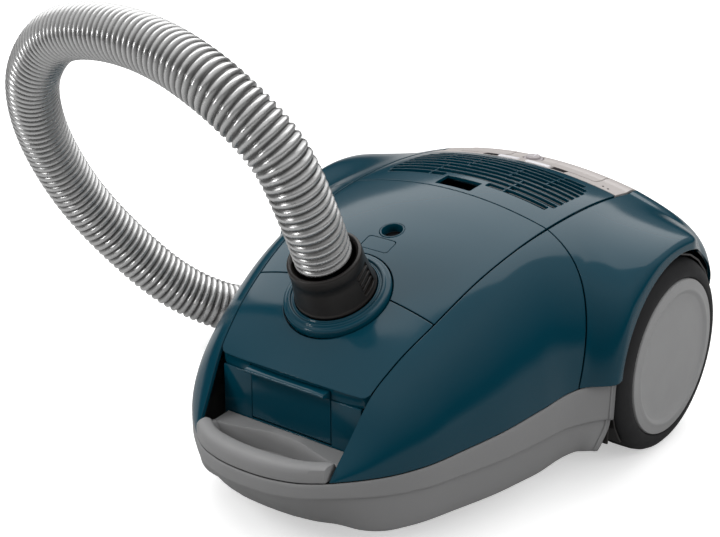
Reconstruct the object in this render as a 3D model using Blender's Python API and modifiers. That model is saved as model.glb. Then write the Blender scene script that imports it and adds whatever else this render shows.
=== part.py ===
"""Cylinder vacuum cleaner: moulded body on two large wheels and a caster, with its hose.

World frame: +Z up, the front (carry handle, hose inlet) towards -Y, the machine's left side
towards +X, origin on the floor under the middle of the body.  Every table and size below is in
millimetres; MM turns them into Blender's metres where a mesh is made.
"""
import math

import bmesh
import bpy
from mathutils import Matrix, Vector

MM = 0.001

# ---------------------------------------------------------------- driving dimensions
HALF_LENGTH = 187.0            # the body spans y = -187 .. +187
WALL = 2.2                     # moulded wall thickness
GAP = 0.6                      # half the width of a seam between panels
CLEAR = 0.35                   # clearance between neighbouring pieces

WHEEL_Y, WHEEL_Z = 102.3, 69.75
TYRE_R, HUB_R = 69.75, 56.1
HUB_FACE_X, TYRE_OUT_X, TYRE_IN_X = 149.0, 146.0, 116.0
ARCH_Y, ARCH_Z, ARCH_R = 103.3, 72.5, 73.8
WELL_X = 110.0                 # inner wall of the wheel well
AXLE_R = 5.0

BASE_Z = 20.0                  # underside of the base
FOOT_Z = 17.5                  # flat foot under it, between the wheels
HANDLE_Z = 59.3                # where the handle sits on the base
LID_FRONT_Y = -140.5
LID_BOW = 5.2                  # the lid's front edge is further back at its corners
CROSS_SEAM_Y = -80.6
LID_HINGE_Y, LID_HINGE_Z = 38.0, 179.6
GRILLE_REAR_Y = 131.0

RING_Y, RING_Z, RING_TILT = -88.1, 146.1, 25.0
RING_R = 36.6
COLLAR_BASE_R, COLLAR_TOP_R, COLLAR_H = 27.6, 24.6, 33.0
HOSE_R = 19.25

WALL_Y = -135.0                # front wall of the lid latch recess
LATCH_HALF = 32.2

BUTTON_HALF, BUTTON_Y0, BUTTON_Y1, BUTTON_TILT = 11.0, -50.0, -38.0, 20.0
INDICATOR_Y, INDICATOR_R = -28.0, 7.6
SLOTS, SLOT_Y0, SLOT_PITCH, SLOT_WIDE = 9, 56.0, 7.3, 4.6
PEDAL_LEFT, PEDAL_RIGHT = (19.0, 58.0), (-58.0, -19.0)
PEDAL_Y0, PEDAL_Y1, SHELF_Z = 140.0, 160.0, 136.0
KNOB_Y, KNOB_R = 150.0, 7.5
CORD_X, CORD_Z, CORD_R = -40.0, 112.0, 6.0

MOTOR_Y, MOTOR_Z, MOTOR_R = 82.0, 92.0, 49.0
REEL_X, REEL_Y, REEL_Z, REEL_R = 81.0, 104.0, 88.0, 50.0
CASTER_Y, ROLLER_R = -112.0, 8.0

# centre height of the lids, height and half-width of the panel seam, half-width of the base rim
TOP_Z = [(-150, 97), (-140.5, 107.9), (-135.3, 112.3), (-115, 130), (-88, 146.3), (-45, 165.4),
         (0, 176.3), (38, 180.7), (80, 182), (110, 179.6), (131, 175.4), (150, 172)]
SEAM_Z = [(-168.1, 59.4), (-152, 82), (-135.3, 105.5), (-115, 121.8), (-80.6, 139.7), (-45, 154.2),
          (0, 165), (38, 169.4), (80, 170.3), (110, 168.5), (131, 165.8), (150, 162.5)]
SEAM_X = [(-168.1, 54), (-135.3, 60.3), (-80.6, 71), (-20, 77), (38, 79.7), (90, 80.6), (131, 80.3),
          (187, 77)]
RIM_X = [(-168.1, 54), (-155, 69), (-141, 82), (-123, 93.5), (-92, 105), (-63, 114), (-28, 121),
         (6, 128), (22, 137), (33, 145), (60, 147), (102, 147), (150, 146.5)]
RIM_RISE = 0.1                 # the base rim climbs towards the back
TAIL_Y = 150.0                 # from here the body closes towards the back
TAIL_POWER = 2.6

# how full the side section is: handle lengths and start slope of its Bezier curve
SHOULDER = [(-168, .50), (-80, .50), (0, .56), (38, .64), (102, .80), (187, .75)]
FLANK = [(-168, .50), (-80, .48), (38, .50), (102, .66), (187, .60)]
SLOPE = [(-168, 40), (-135, 31), (-80, 22), (38, 17), (102, 14), (187, 18)]

# the hose's centre-line points, from inside the collar to the cuff behind the body, and on
# through the cuff along the hand grip
HOSE_ROUTE = [(0, -101, 173), (0, -117, 208), (-12, -132, 251), (-51, -140, 285), (-110, -132, 300),
              (-174, -120, 298), (-228, -107, 281), (-268, -92, 243), (-291, -66, 193),
              (-293, -35, 138), (-276, -6, 91), (-248, 24, 50), (-219, 57, 26), (-207, 97, 19.8),
              (-206, 150, 19.4), (-211, 210, 19.4), (-217, 270, 19.4), (-206, 322, 19.4),
              (-173, 364, 19.4), (-127, 388, 19.6), (-84, 392, 21), (-53, 385, 22.4),
              (-34, 375, 22.4)]
HOSE_STEP = 34.0
GRIP_ROUTE = [(-14.5, 364.7, 22.4), (4.5, 354.7, 22.4), (24, 338, 22), (38, 311, 21),
              (44, 280, 20), (45, 246, 20), (45, 210, 20)]
GRIP_RADII = [16.8, 16.9, 18.2, 18.8, 18.6, 17.2, 16.0]
CUFF_R = 22.2


def curve(points):
    """A smooth function through (x, y) points: cubic pieces with averaged slopes."""
    xs = [p[0] for p in points]
    ys = [p[1] for p in points]
    steps = [(ys[i + 1] - ys[i]) / (xs[i + 1] - xs[i]) for i in range(len(xs) - 1)]
    slopes = [steps[0]]
    for i in range(1, len(xs) - 1):
        before, after = xs[i] - xs[i - 1], xs[i + 1] - xs[i]
        slopes.append((steps[i - 1] * after + steps[i] * before) / (before + after))
    slopes.append(steps[-1])

    def value(x):
        i = 0
        while i < len(xs) - 2 and x > xs[i + 1]:
            i += 1
        h = xs[i + 1] - xs[i]
        s = (x - xs[i]) / h
        return ((2 * s**3 - 3 * s**2 + 1) * ys[i] + (s**3 - 2 * s**2 + s) * h * slopes[i]
                + (3 * s**2 - 2 * s**3) * ys[i + 1] + (s**3 - s**2) * h * slopes[i + 1])
    return value


top_line, seam_line, seam_half = curve(TOP_Z), curve(SEAM_Z), curve(SEAM_X)
rim_line, shoulder, flank, slope = curve(RIM_X), curve(SHOULDER), curve(FLANK), curve(SLOPE)


def rim_z(y):
    return HANDLE_Z + RIM_RISE * (max(y, -168.1) + 168.1)


def tail(y):
    """1 in front of the tail, falling to 0 along a rounded corner at the back."""
    if y <= TAIL_Y:
        return 1.0
    s = min((y - TAIL_Y) / (HALF_LENGTH - TAIL_Y), 1.0)
    return (1 - s**TAIL_POWER) ** (1 / TAIL_POWER)


def top_z(y):
    return rim_z(y) + (top_line(min(y, TAIL_Y)) - rim_z(y)) * tail(y)


def seam_z(y):
    return rim_z(y) + (seam_line(min(y, TAIL_Y)) - rim_z(y)) * tail(y)


def rim_x(y):
    half = seam_half(y)
    return half + (rim_line(min(y, TAIL_Y)) - half) * tail(y)


def deck_point(y, s):
    """Point of the top surface; s runs from -1 at the right-hand seam to +1 at the left."""
    return (s * seam_half(y), y, top_z(y) - (top_z(y) - seam_z(y)) * s * s)


def deck_z(x, y):
    return deck_point(y, x / seam_half(y))[2]


def side_point(y, t, side=1):
    """Point of the flank; t runs from 0 at the panel seam to 1 at the base rim."""
    x0, z0, x3, z3 = seam_half(y), seam_z(y), rim_x(y), rim_z(y)
    wide, tall = x3 - x0, z0 - z3
    x1, z1 = x0 + shoulder(y) * wide, z0 - shoulder(y) * wide * math.tan(math.radians(slope(y)))
    x2, z2 = x3 - 0.06 * tall * flank(y), z3 + flank(y) * tall
    a, b, c, d = (1 - t)**3, 3 * (1 - t)**2 * t, 3 * (1 - t) * t * t, t**3
    return (side * (a * x0 + b * x1 + c * x2 + d * x3), y, a * z0 + b * z1 + c * z2 + d * z3)


def panel_seam_y(t):
    """The seam between side panel and wheel-arch panel leans forward as it goes down."""
    return 38.0 - 32.0 * t


def spread(low, high, count):
    return [low + (high - low) * i / (count - 1) for i in range(count)]


# ---------------------------------------------------------------- scene, collections, materials
for old in list(bpy.data.objects):
    bpy.data.objects.remove(old)

parts = bpy.data.collections.new("cylinder_vacuum_cleaner")
cutters = bpy.data.collections.new("cutters")
bpy.context.scene.collection.children.link(parts)
bpy.context.scene.collection.children.link(cutters)


def material(name, colour, roughness, metallic=0.0):
    mat = bpy.data.materials.new(name)
    mat.use_nodes = True
    shader = mat.node_tree.nodes["Principled BSDF"]
    shader.inputs["Base Color"].default_value = (*colour, 1)
    shader.inputs["Roughness"].default_value = roughness
    shader.inputs["Metallic"].default_value = metallic
    return mat


TEAL = material("teal_plastic", (0.012, 0.055, 0.085), 0.22)
GREY = material("grey_plastic", (0.17, 0.17, 0.175), 0.5)
HUB_GREY = material("hub_grey", (0.24, 0.24, 0.24), 0.5)
LIGHT = material("light_plastic", (0.55, 0.51, 0.48), 0.4)
BLACK = material("black_plastic", (0.02, 0.018, 0.017), 0.5)
RUBBER = material("rubber", (0.035, 0.035, 0.035), 0.75)
HOSE_GREY = material("hose_silver", (0.40, 0.40, 0.40), 0.35)
STEEL = material("steel", (0.55, 0.55, 0.56), 0.3, 1.0)
COPPER = material("motor_core", (0.35, 0.20, 0.12), 0.45, 0.8)
PAPER = material("bag_fabric", (0.72, 0.68, 0.58), 0.95)
FOAM = material("filter_foam", (0.08, 0.09, 0.10), 0.95)
CARD = material("bag_card", (0.45, 0.33, 0.20), 0.9)
BOARD = material("circuit_board", (0.03, 0.20, 0.08), 0.5)


# ---------------------------------------------------------------- modelling helpers
def add_object(name, mesh, mat, collection=parts):
    obj = bpy.data.objects.new(name, mesh)
    collection.objects.link(obj)
    if mat:
        mesh.materials.append(mat)
    return obj


def mesh_from(name, points, faces):
    mesh = bpy.data.meshes.new(name)
    mesh.from_pydata([Vector(p) * MM for p in points], [], faces)
    mesh.update()
    return mesh


def shade_round(obj, angle=35):
    obj.data.shade_smooth()
    obj.data.set_sharp_from_angle(angle=math.radians(angle))


def shell(name, rows, mat, inside=(0, 0, 90), wall=WALL, round_rows=False):
    """A panel through a grid of points, thickened towards the point `inside`.

    With round_rows each row is a full ring, so the panel is a pipe.
    """
    wide = len(rows[0])
    points = [p for row in rows for p in row]
    faces = [(i * wide + j, i * wide + (j + 1) % wide, (i + 1) * wide + (j + 1) % wide, (i + 1) * wide + j)
             for i in range(len(rows) - 1) for j in range(wide if round_rows else wide - 1)]
    mesh = mesh_from(name, points, faces)
    bm = bmesh.new()
    bm.from_mesh(mesh)
    middle = bm.faces[:][len(bm.faces) // 2]
    bm.normal_update()
    if middle.normal.dot(middle.calc_center_median() - Vector(inside) * MM) < 0:
        bmesh.ops.reverse_faces(bm, faces=bm.faces[:])
    bm.to_mesh(mesh)
    bm.free()
    obj = add_object(name, mesh, mat)
    solid = obj.modifiers.new("wall", "SOLIDIFY")
    solid.thickness = wall * MM
    solid.offset = -1
    shade_round(obj)
    return obj


def cut(obj, cutter, operation="DIFFERENCE"):
    """Boolean with a helper object, which stays in the cutters collection."""
    for home in list(cutter.users_collection):
        home.objects.unlink(cutter)
    cutters.objects.link(cutter)
    cutter.hide_render = True
    cutter.display_type = "WIRE"
    modifier = obj.modifiers.new(cutter.name, "BOOLEAN")
    modifier.operation = operation
    modifier.object = cutter
    modifier.solver = "EXACT"


def block(name, low, high, mat=None, bevel=0.0, tilt=0.0, turn_about=None):
    """A box between two corners; tilt turns it about the X axis through turn_about."""
    bm = bmesh.new()
    bmesh.ops.create_cube(bm, size=1)
    size = [high[i] - low[i] for i in range(3)]
    centre = Vector([(high[i] + low[i]) / 2 for i in range(3)])
    pivot = Vector(turn_about) if turn_about else centre
    bmesh.ops.scale(bm, vec=Vector(size) * MM, verts=bm.verts)
    mesh = bpy.data.meshes.new(name)
    turn = Matrix.Rotation(math.radians(tilt), 4, "X")
    bmesh.ops.transform(bm, matrix=Matrix.Translation((centre - pivot) * MM), verts=bm.verts)
    bm.to_mesh(mesh)
    bm.free()
    obj = add_object(name, mesh, mat)
    obj.matrix_world = Matrix.Translation(pivot * MM) @ turn
    if bevel:
        edge = obj.modifiers.new("edges", "BEVEL")
        edge.width = bevel * MM
        edge.segments = 2
    return obj


AXIS_TURN = {
    "Z": Matrix.Identity(4),
    "X": Matrix.Rotation(math.radians(90), 4, "Y"),
    "-X": Matrix.Rotation(math.radians(-90), 4, "Y"),
    "Y": Matrix.Rotation(math.radians(-90), 4, "X"),
    "RING": Matrix.Rotation(math.radians(RING_TILT), 4, "X"),
    "CUFF": Matrix.Rotation(math.atan2(HOSE_ROUTE[-1][1] - HOSE_ROUTE[-2][1],
                                       HOSE_ROUTE[-1][0] - HOSE_ROUTE[-2][0]), 4, "Z")
            @ Matrix.Rotation(math.radians(90), 4, "Y"),
}


def rod(name, centre, radius, length, axis, mat=None, sides=24):
    bm = bmesh.new()
    bmesh.ops.create_cone(bm, cap_ends=True, segments=sides, radius1=radius * MM,
                          radius2=radius * MM, depth=length * MM)
    mesh = bpy.data.meshes.new(name)
    bm.to_mesh(mesh)
    bm.free()
    obj = add_object(name, mesh, mat)
    obj.matrix_world = Matrix.Translation(Vector(centre) * MM) @ AXIS_TURN[axis]
    shade_round(obj)
    return obj


def turned(name, profile, centre, axis, mat=None, steps=40):
    """A turned piece: profile of (radius, height), down its outer side and up its inner side.

    A profile that starts on the axis (radius 0) also ends there; any other is closed to a loop.
    """
    points = [(r, 0, z) for r, z in profile]
    mesh = bpy.data.meshes.new(name)
    edges = [(i, i + 1) for i in range(len(points) - 1)]
    if profile[0][0] > 0:
        edges.append((len(points) - 1, 0))
    mesh.from_pydata([Vector(p) * MM for p in points], edges, [])
    obj = add_object(name, mesh, mat)
    obj.matrix_world = Matrix.Translation(Vector(centre) * MM) @ AXIS_TURN[axis]
    screw = obj.modifiers.new("turn", "SCREW")
    screw.axis = "Z"
    screw.steps = screw.render_steps = steps
    screw.use_merge_vertices = True
    screw.merge_threshold = 0.00002
    screw.use_smooth_shade = True
    return obj


def prism(name, outline, low, high, mat=None, plane="XY"):
    """An outline of (a, b) points pushed from low to high along the third axis."""
    place = {"XY": lambda a, b, c: (a, b, c), "YZ": lambda a, b, c: (c, a, b),
             "XZ": lambda a, b, c: (a, c, b)}[plane]
    bm = bmesh.new()
    bottom = [bm.verts.new(Vector(place(a, b, low)) * MM) for a, b in outline]
    face = bm.faces.new(bottom)
    pushed = bmesh.ops.extrude_face_region(bm, geom=[face])
    moved = [v for v in pushed["geom"] if isinstance(v, bmesh.types.BMVert)]
    bmesh.ops.translate(bm, vec=Vector(place(0, 0, high - low)) * MM, verts=moved)
    bmesh.ops.recalc_face_normals(bm, faces=bm.faces[:])
    mesh = bpy.data.meshes.new(name)
    bm.to_mesh(mesh)
    bm.free()
    return add_object(name, mesh, mat)


def spline_points(route, step):
    """Points every `step` along a smooth (Catmull-Rom) curve through the route's points."""
    pts = [Vector(p) for p in route]
    pts = [2 * pts[0] - pts[1]] + pts + [2 * pts[-1] - pts[-2]]
    dense = []
    for a, b, c, d in zip(pts, pts[1:], pts[2:], pts[3:]):
        for i in range(24):
            s = i / 24
            dense.append(0.5 * (2 * b + (c - a) * s + (2 * a - 5 * b + 4 * c - d) * s * s
                                + (3 * b - a - 3 * c + d) * s**3))
    dense.append(pts[-2])
    lengths = [0.0]
    for a, b in zip(dense, dense[1:]):
        lengths.append(lengths[-1] + (b - a).length)
    count = max(2, round(lengths[-1] / step))
    out, j = [], 0
    for i in range(count + 1):
        want = lengths[-1] * i / count
        while j < len(lengths) - 2 and lengths[j + 1] < want:
            j += 1
        share = (want - lengths[j]) / (lengths[j + 1] - lengths[j])
        out.append(dense[j].lerp(dense[j + 1], min(max(share, 0), 1)))
    return out


def tube(name, points, radius, mat, sides=2):
    """A solid round tube along the points, as a curve with a bevel and filled caps."""
    data = bpy.data.curves.new(name, "CURVE")
    data.dimensions = "3D"
    data.bevel_depth = radius * MM
    data.bevel_resolution = sides
    data.use_fill_caps = True
    data.resolution_u = 1
    data.render_resolution_u = 0
    spline = data.splines.new("POLY")
    spline.points.add(len(points) - 1)
    for item, p in zip(spline.points, points):
        item.co = (p[0] * MM, p[1] * MM, p[2] * MM, 1)
    obj = bpy.data.objects.new(name, data)
    parts.objects.link(obj)
    data.materials.append(mat)
    return obj


def ring_place(x, along_y, height):
    """World place of a point given across, back along and above the tilted inlet ring."""
    turn = math.radians(RING_TILT)
    return (x, RING_Y + along_y * math.cos(turn) - height * math.sin(turn),
            RING_Z + along_y * math.sin(turn) + height * math.cos(turn))


# ---------------------------------------------------------------- body panels
def make_base():
    """Open tub: outline narrowed in rings from the rim down to a flat underside."""
    half = [(0, -187), (22, -185), (40, -178.5), (54, -168.1)]
    half += [(rim_x(y), y) for y in (-155, -141, -123, -92, -63, -28, 6, 20)]
    half += [(143.5, 29.2), (WELL_X, 29.2), (WELL_X, 66), (WELL_X, 102), (WELL_X, 140),
             (WELL_X, 179), (104, 184.5), (84, 187), (40, 187), (0, 187)]
    loop = half + [(-x, y) for x, y in half[-2:0:-1]]
    # each ring: height at the front, height at the back, side inset, front inset
    rings = [(None, None, 0, 0), (49, 53, 0.3, 0.5), (46, 49, 2.2, 3.5), (33, 33, 3.6, 15),
             (23.5, 23.5, 6, 25), (BASE_Z, BASE_Z, 9.5, 31)]
    points = []
    for front_z, back_z, side_in, front_in in rings:
        for x, y in loop:
            in_well = 25 < y < 182 and abs(x) <= WELL_X + 0.1
            share = min(1.0, abs(x) / 110)
            new_x = x if in_well else x - math.copysign(side_in * share, x)
            front = max(0.0, (-y - 60) / 127) ** 2
            new_y = y + front_in * front - (0.25 * front_in if y > 182.5 else 0)
            if abs(x) > WELL_X + 1 and 28 < y < 31:
                new_x = math.copysign(max(abs(x) - side_in * 0.9, WELL_X + 8), x)
            if front_z is None:
                z = rim_z(y) - GAP if y > -168 else HANDLE_Z - GAP
            else:
                z = front_z + (back_z - front_z) * min(max((y + 187) / 374, 0), 1)
            points.append((new_x, new_y, z))
    n = len(loop)
    faces = [(k * n + i, (k + 1) * n + i, (k + 1) * n + (i + 1) % n, k * n + (i + 1) % n)
             for k in range(len(rings) - 1) for i in range(n)]
    faces.append(tuple(reversed([(len(rings) - 1) * n + i for i in range(n)])))
    mesh = mesh_from("base_tub", points, faces)
    bm = bmesh.new()
    bm.from_mesh(mesh)
    bmesh.ops.recalc_face_normals(bm, faces=bm.faces[:])
    lowest = min(bm.faces, key=lambda f: f.calc_center_median().z)
    if lowest.normal.z > 0:
        bmesh.ops.reverse_faces(bm, faces=bm.faces[:])
    bm.to_mesh(mesh)
    bm.free()
    obj = add_object("base_tub", mesh, GREY)
    solid = obj.modifiers.new("wall", "SOLIDIFY")
    solid.thickness = WALL * MM
    solid.offset = -1
    # a flat foot between the wheels, clear of the caster, for a stand to carry
    cut(obj, block("base_foot", (-60, 70, FOOT_Z), (60, 150, BASE_Z + 1)), "UNION")
    return obj


def rim_cutter(name):
    """Everything under the plane of the base rim, which climbs towards the back."""
    y, z = -168.1, HANDLE_Z + GAP
    return block(name, (-220, y - 60, z - 90), (220, y + 430, z), tilt=math.degrees(math.atan(RIM_RISE)),
                 turn_about=(0, y, z))


def make_side_panel(name, side):
    rows = []
    for t in spread(0.012, 1.0, 8):
        low, high = -168.1 + 2.2 * (1 - t) ** 4, panel_seam_y(t) - GAP
        row = []
        for u in (0, .04, .1, .18, .28, .4, .54, .7, .85, 1):
            y = low + (high - low) * u
            x, y, z = side_point(y, t, side)
            row.append((x, y, z - (2 if t > 0.99 else 0)))
        rows.append(row)
    obj = shell(name, rows, TEAL)
    cut(obj, rim_cutter(name + "_rim"))
    return obj


def make_fender(name, side):
    rows = []
    for t in spread(0.012, 1.0, 8):
        low = panel_seam_y(t) + GAP
        row = []
        for y in spread(low, 145, 7) + [158, 168, 175, 180, 183.4, 185.4, 186.7]:
            x, y, z = side_point(y, t, side)
            row.append((x, y, z - (2 if t > 0.99 else 0)))
        corner = Vector((side * seam_half(HALF_LENGTH), HALF_LENGTH, rim_z(HALF_LENGTH)))
        row.append(corner.lerp(Vector(row[-1]), 0.2))
        rows.append(row)
    obj = shell(name, rows, TEAL)
    cut(obj, rod(name + "_arch", (side * 137, ARCH_Y, ARCH_Z), ARCH_R, 56, "X", sides=60))
    cut(obj, rim_cutter(name + "_rim"))
    return obj


def ring_cutter(name, radius):
    return rod(name, ring_place(0, 0, -4), radius, 60, "RING", sides=48)


def make_front_lid():
    """Front half of the bag-chamber lid with a turned-down front lip."""
    rows = []
    stations = [None, 0] + [0.14, 0.3, 0.47, 0.65, 0.83, 1.0]
    for u in stations:
        row = []
        for s in spread(-1, 1, 11):
            edge = 1 - (GAP / 60) if abs(s) > .99 else 1
            front = LID_FRONT_Y + LID_BOW * s * s
            y = front + (CROSS_SEAM_Y - GAP - front) * (u or 0)
            x, y, z = deck_point(y, s * edge)
            if abs(s) > .99:
                x = math.copysign(seam_half(y) - GAP, s)
            row.append((x, y + 0.8, z - 5.5) if u is None else (x, y, z))
        rows.append(row)
    obj = shell("front_lid", rows, TEAL, inside=(0, -60, 60))
    cut(obj, ring_cutter("front_lid_hole", RING_R + GAP))
    cut(obj, block("front_lid_notch", (-LATCH_HALF - .8, -150, 96), (LATCH_HALF + .8, -133, 104.8)))
    return obj


def make_accessory_lid():
    rows = []
    for y in spread(CROSS_SEAM_Y + GAP, LID_HINGE_Y - GAP, 8):
        row = []
        for s in spread(-1, 1, 9):
            x, y, z = deck_point(y, s)
            row.append((math.copysign(seam_half(y) - GAP, s), y, z) if abs(s) > .99 else (x, y, z))
        rows.append(row)
    obj = shell("accessory_lid", rows, TEAL, inside=(0, 0, 90))
    cut(obj, ring_cutter("accessory_lid_hole", RING_R + GAP))
    y, z = (BUTTON_Y0 + BUTTON_Y1) / 2, deck_z(0, (BUTTON_Y0 + BUTTON_Y1) / 2)
    long = (BUTTON_Y1 - BUTTON_Y0) / 2 / math.cos(math.radians(BUTTON_TILT)) + .6
    cut(obj, block("push_button_hole", (-BUTTON_HALF - .6, y - long, z - 15),
                   (BUTTON_HALF + .6, y + long, z + 15), tilt=BUTTON_TILT, turn_about=(0, y, z)))
    cut(obj, rod("indicator_hole", (0, INDICATOR_Y, 170), INDICATOR_R + .4, 40, "Z"))
    return obj


def make_push_button():
    rows = [[(x, y, deck_z(x, y)) for x in spread(-BUTTON_HALF, BUTTON_HALF, 5)]
            for y in spread(BUTTON_Y0, BUTTON_Y1, 4)]
    return shell("push_button", rows, TEAL, inside=(0, -40, 90), wall=3.0)


def make_indicator():
    """Dished window of the bag-full indicator."""
    z = deck_z(0, INDICATOR_Y)
    r = INDICATOR_R
    profile = [(0, -7), (r * .45, -6.6), (r * .8, -4.2), (r - .9, -1.2), (r, -1.2), (r, -9), (0, -9)]
    return turned("bag_indicator", profile, (0, INDICATOR_Y, z + 0.2), "Z", BLACK, 20)


def make_accessory_tray():
    """Open tray under the accessory lid: four walls and a floor, riding with the bag lid."""
    low_y, high_y, depth = -47.0, 31.0, 20.0
    rows = []
    for i, y in enumerate([low_y - 3, low_y] + spread(low_y + 12, high_y - 12, 4) + [high_y, high_y + 3]):
        row = []
        for j, s in enumerate([-.86, -.83, -.5, -.2, .2, .5, .83, .86]):
            wall = i in (0, 7) or j in (0, 7)
            yy = min(max(y, low_y - 1.5), high_y + 1.5)
            height = deck_z(s * seam_half(yy), yy) - (4.5 if wall else 4.5 + depth)
            row.append((s * seam_half(yy), yy, height))
        rows.append(row)
    return shell("accessory_tray", rows, BLACK, inside=(0, 0, 60), wall=1.6)


def make_grille():
    """Exhaust panel behind the lids, with slots cut across it."""
    rows = []
    for y in spread(LID_HINGE_Y + GAP, GRILLE_REAR_Y - GAP, 6):
        row = []
        for s in spread(-1, 1, 9):
            x, y, z = deck_point(y, s)
            row.append((math.copysign(seam_half(y) - GAP, s), y, z) if abs(s) > .99 else (x, y, z))
        rows.append(row)
    obj = shell("exhaust_grille", rows, TEAL, inside=(0, 80, 90))
    for i in range(SLOTS):
        y = SLOT_Y0 + SLOT_PITCH * (i + .5)
        end = 64.0 if 0 < i < SLOTS - 1 else 59.0
        low, high = (-end, y - SLOT_WIDE / 2, 160), (end, y + SLOT_WIDE / 2, 195)
        cut(obj, block("grille_slot_%d" % i, low, high))
    cut(obj, block("grille_latch_hole", (-14, 42.5, 165), (14, 51, 195)))
    return obj


def make_rear_cover():
    rows = []
    for y in [GRILLE_REAR_Y + GAP, 140, 150, 158, 166, 173, 179, 182.5, 184.6, 185.8, 186.6, HALF_LENGTH]:
        row = []
        for s in spread(-1, 1, 11):
            x, y, z = deck_point(y, s)
            z = max(z, rim_z(y) + GAP)
            row.append((math.copysign(seam_half(y) - GAP, s), y, z) if abs(s) > .99 else (x, y, z))
        rows.append(row)
    obj = shell("rear_cover", rows, LIGHT, inside=(0, 120, 90))
    for low, high in (PEDAL_LEFT, PEDAL_RIGHT):
        cut(obj, block("pedal_hole", (low - .9, PEDAL_Y0 - 1.2, 150), (high + .9, PEDAL_Y1 + 1.2, 190)))
    cut(obj, rod("knob_hole", (0, KNOB_Y, 170), KNOB_R + .5, 40, "Z"))
    cut(obj, rod("cord_hole", (CORD_X, 180, CORD_Z), CORD_R + .4, 40, "Y"))
    return obj


def make_pedal(name, low, high):
    rows = [[(x, y, deck_z(x, y)) for x in spread(low, high, 5)] for y in spread(PEDAL_Y0, PEDAL_Y1, 4)]
    return shell(name, rows, LIGHT, inside=(low / 2 + high / 2, 148, 90), wall=3.0)


def make_spring(name, x, y, low, high, radius, turns, wire):
    count = turns * 6
    points = [(x + radius * math.cos(2 * math.pi * i / 6), y + radius * math.sin(2 * math.pi * i / 6),
               low + wire + (high - low - 2 * wire) * i / count) for i in range(count + 1)]
    return tube(name, points, wire, STEEL, 0)


def make_handle():
    """Bowed carry handle with a finger scoop behind the grip; it closes the recess floor."""
    outer = [(-52.4, -169.6), (-40, -178.2), (-22, -184.6), (0, -186.7), (22, -184.6), (40, -178.2),
             (52.4, -169.6)]
    back = [(52.4, -152), (52.4, WALL_Y - 2.6), (-52.4, WALL_Y - 2.6), (-52.4, -152)]
    obj = prism("carry_handle", outer + back, HANDLE_Z, 71.0, GREY)
    scoop = [(-46, -161), (-30, -168.5), (0, -172.5), (30, -168.5), (46, -161), (49, -151), (0, -143),
             (-49, -151)]
    cut(obj, prism("handle_scoop", scoop, 61.3, 80))
    cut(obj, block("handle_slope", (-80, -170, 64), (80, -100, 90), tilt=-3, turn_about=(0, -150, 64)))
    edge = obj.modifiers.new("edges", "BEVEL")
    edge.width = 2.0 * MM
    edge.segments = 2
    edge.limit_method = "ANGLE"
    edge.angle_limit = math.radians(50)
    return obj


def make_recess_wall():
    """Fixed wall behind the handle, with a notch that the latch lever fills."""
    top, notch, half = 98.0, 65.2, LATCH_HALF + .5
    outline = [(-55, 60.2), (55, 60.2), (56.3, top), (half, top), (half, notch), (-half, notch),
               (-half, top), (-56.3, top)]
    return prism("recess_wall", outline, WALL_Y - 2.2, WALL_Y, TEAL, "XZ")


def make_latch():
    """Lid latch: flat lever with a thin pull tab along its top edge."""
    y0 = WALL_Y
    outline = [(y0 - 2.2, 66.8), (y0 - 2.2, 100.6), (-144.6, 101.6), (-144.6, 104.2), (y0, 104.2),
               (y0, 66.8)]
    return prism("latch_lever", outline, -LATCH_HALF, LATCH_HALF, TEAL, "YZ")


# ---------------------------------------------------------------- inlet, collar and hose
def make_inlet_ring():
    profile = [(30.5, 3.6), (RING_R - 1.5, 1.4), (RING_R, -.5), (RING_R, -4), (25.8, -6), (20, -9),
               (20, -36), (18, -36), (18, -8), (24.9, -4.4), (24.9, 2.2), (27, 3.6)]
    return turned("inlet_ring", profile, ring_place(0, 0, 0), "RING", TEAL, 28)


def make_collar():
    """Swivelling hose collar: outer cone, top lip turned in, and a neck inside the ring."""
    profile = [(COLLAR_TOP_R, COLLAR_H), (COLLAR_BASE_R - .4, 9), (COLLAR_BASE_R, 4.2), (24.3, 3.4),
               (24.3, -3.6), (22, -3.6), (22, 20), (HOSE_R + .5, 24), (HOSE_R + .5, 29),
               (COLLAR_TOP_R - 2.4, COLLAR_H)]
    return turned("hose_collar", profile, ring_place(0, 0, 0), "RING", BLACK, 28)


def make_inlet_seal():
    profile = [(22.6, -34), (22.6, -40), (20.6, -40), (20.6, -34)]
    return turned("inlet_seal", profile, ring_place(0, 0, 0), "RING", RUBBER, 24)


def make_hose_end():
    """Cuff over the hose's far end, and the bent hand grip pushed into it."""
    profile = [(CUFF_R - 2.4, 38), (CUFF_R, 6), (CUFF_R, -8), (CUFF_R - 1, -10),
               (HOSE_R + 1.1, -10), (HOSE_R + 1.1, 1), (18, 2), (18, 38)]
    turned("hose_cuff", profile, HOSE_ROUTE[-1], "CUFF", BLACK, 24)
    points = [Vector(p) for p in GRIP_ROUTE]
    rows = []
    for i, (p, radius) in enumerate(zip(points, GRIP_RADII)):
        ahead = (points[min(i + 1, len(points) - 1)] - points[max(i - 1, 0)]).normalized()
        across = Vector((0, 0, 1)).cross(ahead).normalized()
        up = ahead.cross(across)
        rows.append([p + radius * (across * math.cos(a) + up * math.sin(a))
                     for a in spread(0, 2 * math.pi * 15 / 16, 16)])
    return shell("hand_grip", rows, BLACK, inside=points[3], wall=2.4, round_rows=True)


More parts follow.
